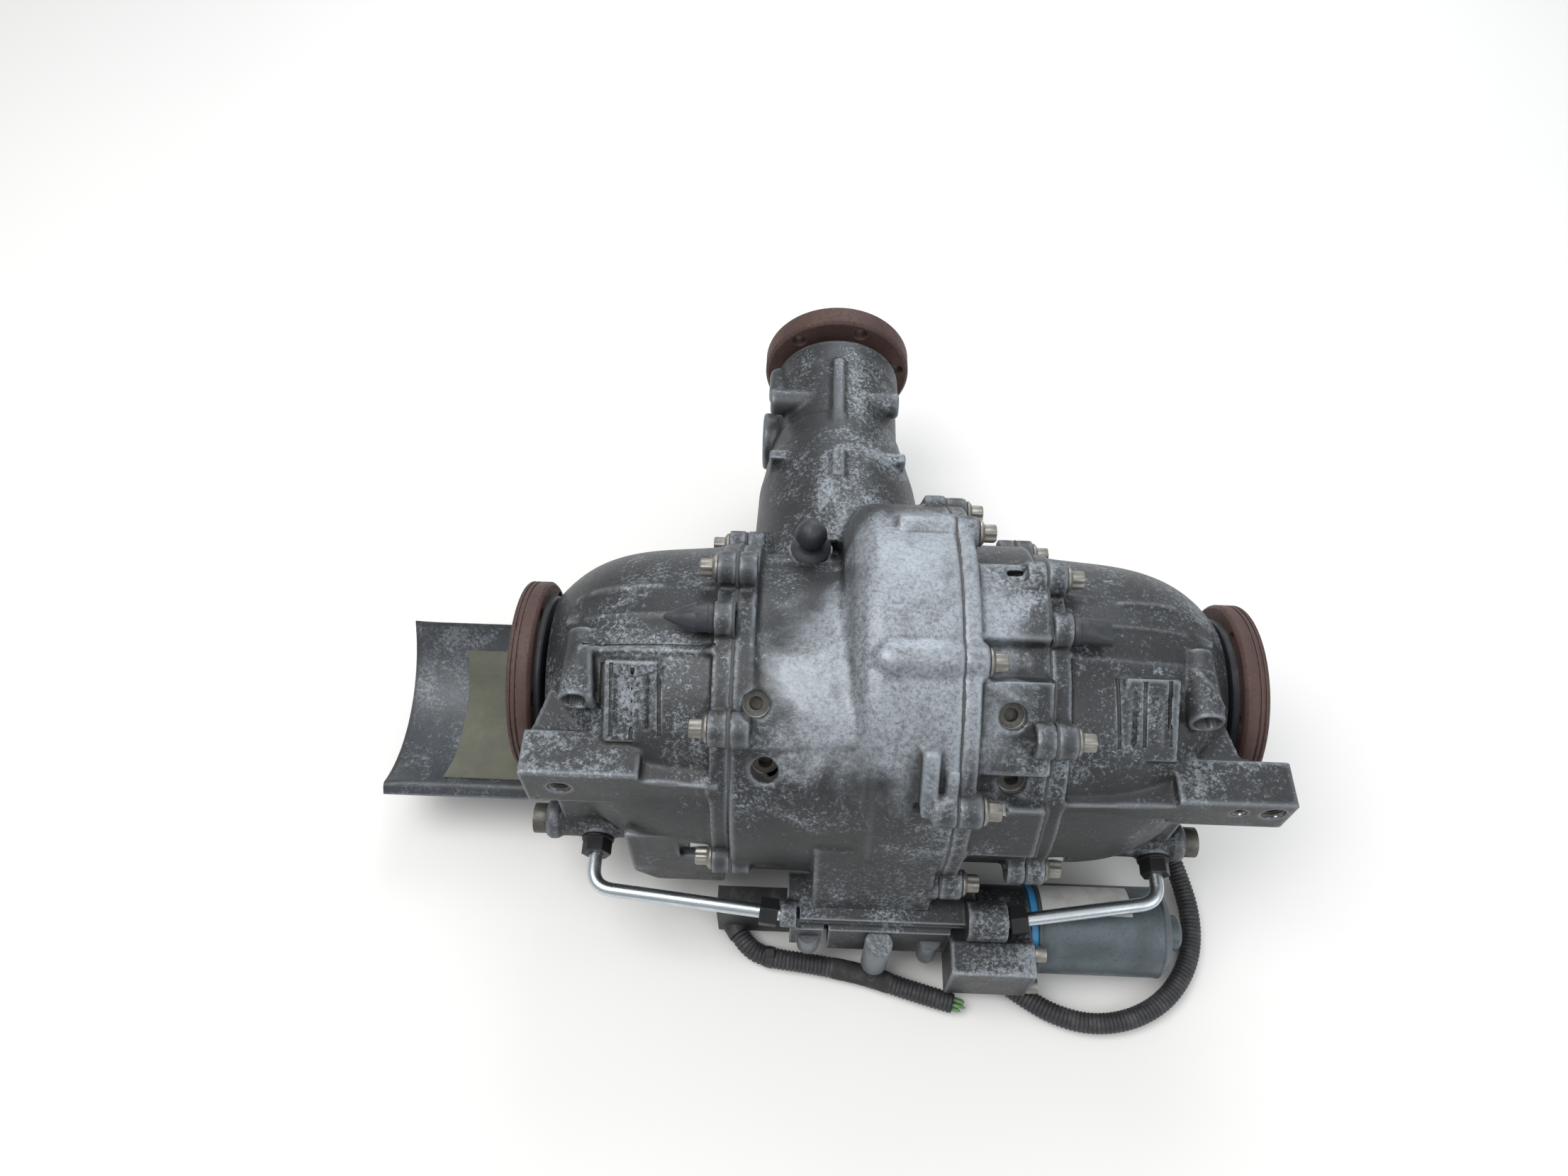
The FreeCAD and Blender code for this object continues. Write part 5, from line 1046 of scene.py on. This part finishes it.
# Name, place from the axle centre in metres, size, power and colour
LIGHTS = (("key_light", (-0.7, -0.2, 1.5), 1.1, 17, (1.0, 0.985, 0.96)),
          ("fill_light", (1.3, -0.9, 1.0), 1.3, 9, (0.94, 0.97, 1.0)),
          ("rim_light", (0.2, 1.4, 1.1), 1.2, 13, (0.95, 0.98, 1.0)))
FLOOR_Z, FLOOR_SIZE = cad_box[0][2], 14
SKY_RAMP = (("From Min", -0.15), ("From Max", 0.95), ("To Min", 0.32), ("To Max", 1.0))
SKY_STRENGTH = 0.72


def studio():
    bpy.ops.mesh.primitive_plane_add(size=FLOOR_SIZE, location=(0.0, 0.0, FLOOR_Z))
    floor = bpy.context.object
    floor.name = "floor"
    shade = Shade("studio_floor")
    shade.set(colour=shade.mix(shade.noise(3, 3), (0.83, 0.83, 0.82), (0.8, 0.8, 0.795)), rough=0.75)
    floor.data.materials.append(shade.material)
    middle = at(0, 0, 0)
    for name, offset, size, power, tone in LIGHTS:
        lamp = bpy.data.lights.new(name, "AREA")
        lamp.shape = "DISK"
        lamp.size = size
        lamp.energy = power
        lamp.color = tone
        holder = linked(name, lamp)
        holder.location = middle + Vector(offset)
        holder.rotation_euler = (middle - holder.location).to_track_quat("-Z", "Y").to_euler()
    world = bpy.data.worlds.new("studio")
    bpy.context.scene.world = world
    world.use_nodes = True
    tree = world.node_tree
    background = tree.nodes["Background"]
    place = tree.nodes.new("ShaderNodeTexCoord")
    split = tree.nodes.new("ShaderNodeSeparateXYZ")
    ramp = tree.nodes.new("ShaderNodeMapRange")
    for name, number in SKY_RAMP:
        ramp.inputs[name].default_value = number
    tree.links.new(place.outputs["Generated"], split.inputs["Vector"])
    tree.links.new(split.outputs["Z"], ramp.inputs["Value"])
    tree.links.new(ramp.outputs["Result"], background.inputs["Color"])
    background.inputs["Strength"].default_value = SKY_STRENGTH


# The camera recovered from the flange ellipses in the photograph: radians, pixels, and metres in the row frame
CAMERA_TURNS, CAMERA_PLACE = (-0.025, 0.983, 0.014), (-0.02308, -0.63753, 0.63204)
FOCAL_LENGTH, PHOTO_WIDTH = 1579.7, 2212


def camera():
    yaw, pitch, roll = CAMERA_TURNS
    forward = Vector((math.sin(yaw) * math.cos(pitch), math.cos(yaw) * math.cos(pitch), -math.sin(pitch)))
    right = Vector((math.cos(yaw), -math.sin(yaw), 0))
    up = right.cross(forward)
    turned_right = right * math.cos(roll) + up * math.sin(roll)
    turned_up = up * math.cos(roll) - right * math.sin(roll)
    data = bpy.data.cameras.new("camera")
    data.sensor_width = 36
    data.lens = data.sensor_width * FOCAL_LENGTH / PHOTO_WIDTH
    data.clip_start, data.clip_end = 0.01, 50
    holder = linked("camera", data)
    basis = Matrix((turned_right, turned_up, -forward)).transposed().to_4x4()
    basis.translation = Vector(CAMERA_PLACE)
    holder.matrix_world = basis
    bpy.context.scene.camera = holder


camera()
studio()
dress_nodes()
wiring()
castings()
bolts()
breathers()
oil_pipes()
heat_shield()
sealant()
threads()
motor_dressing()
bpy.context.scene.view_settings.view_transform = "Standard"
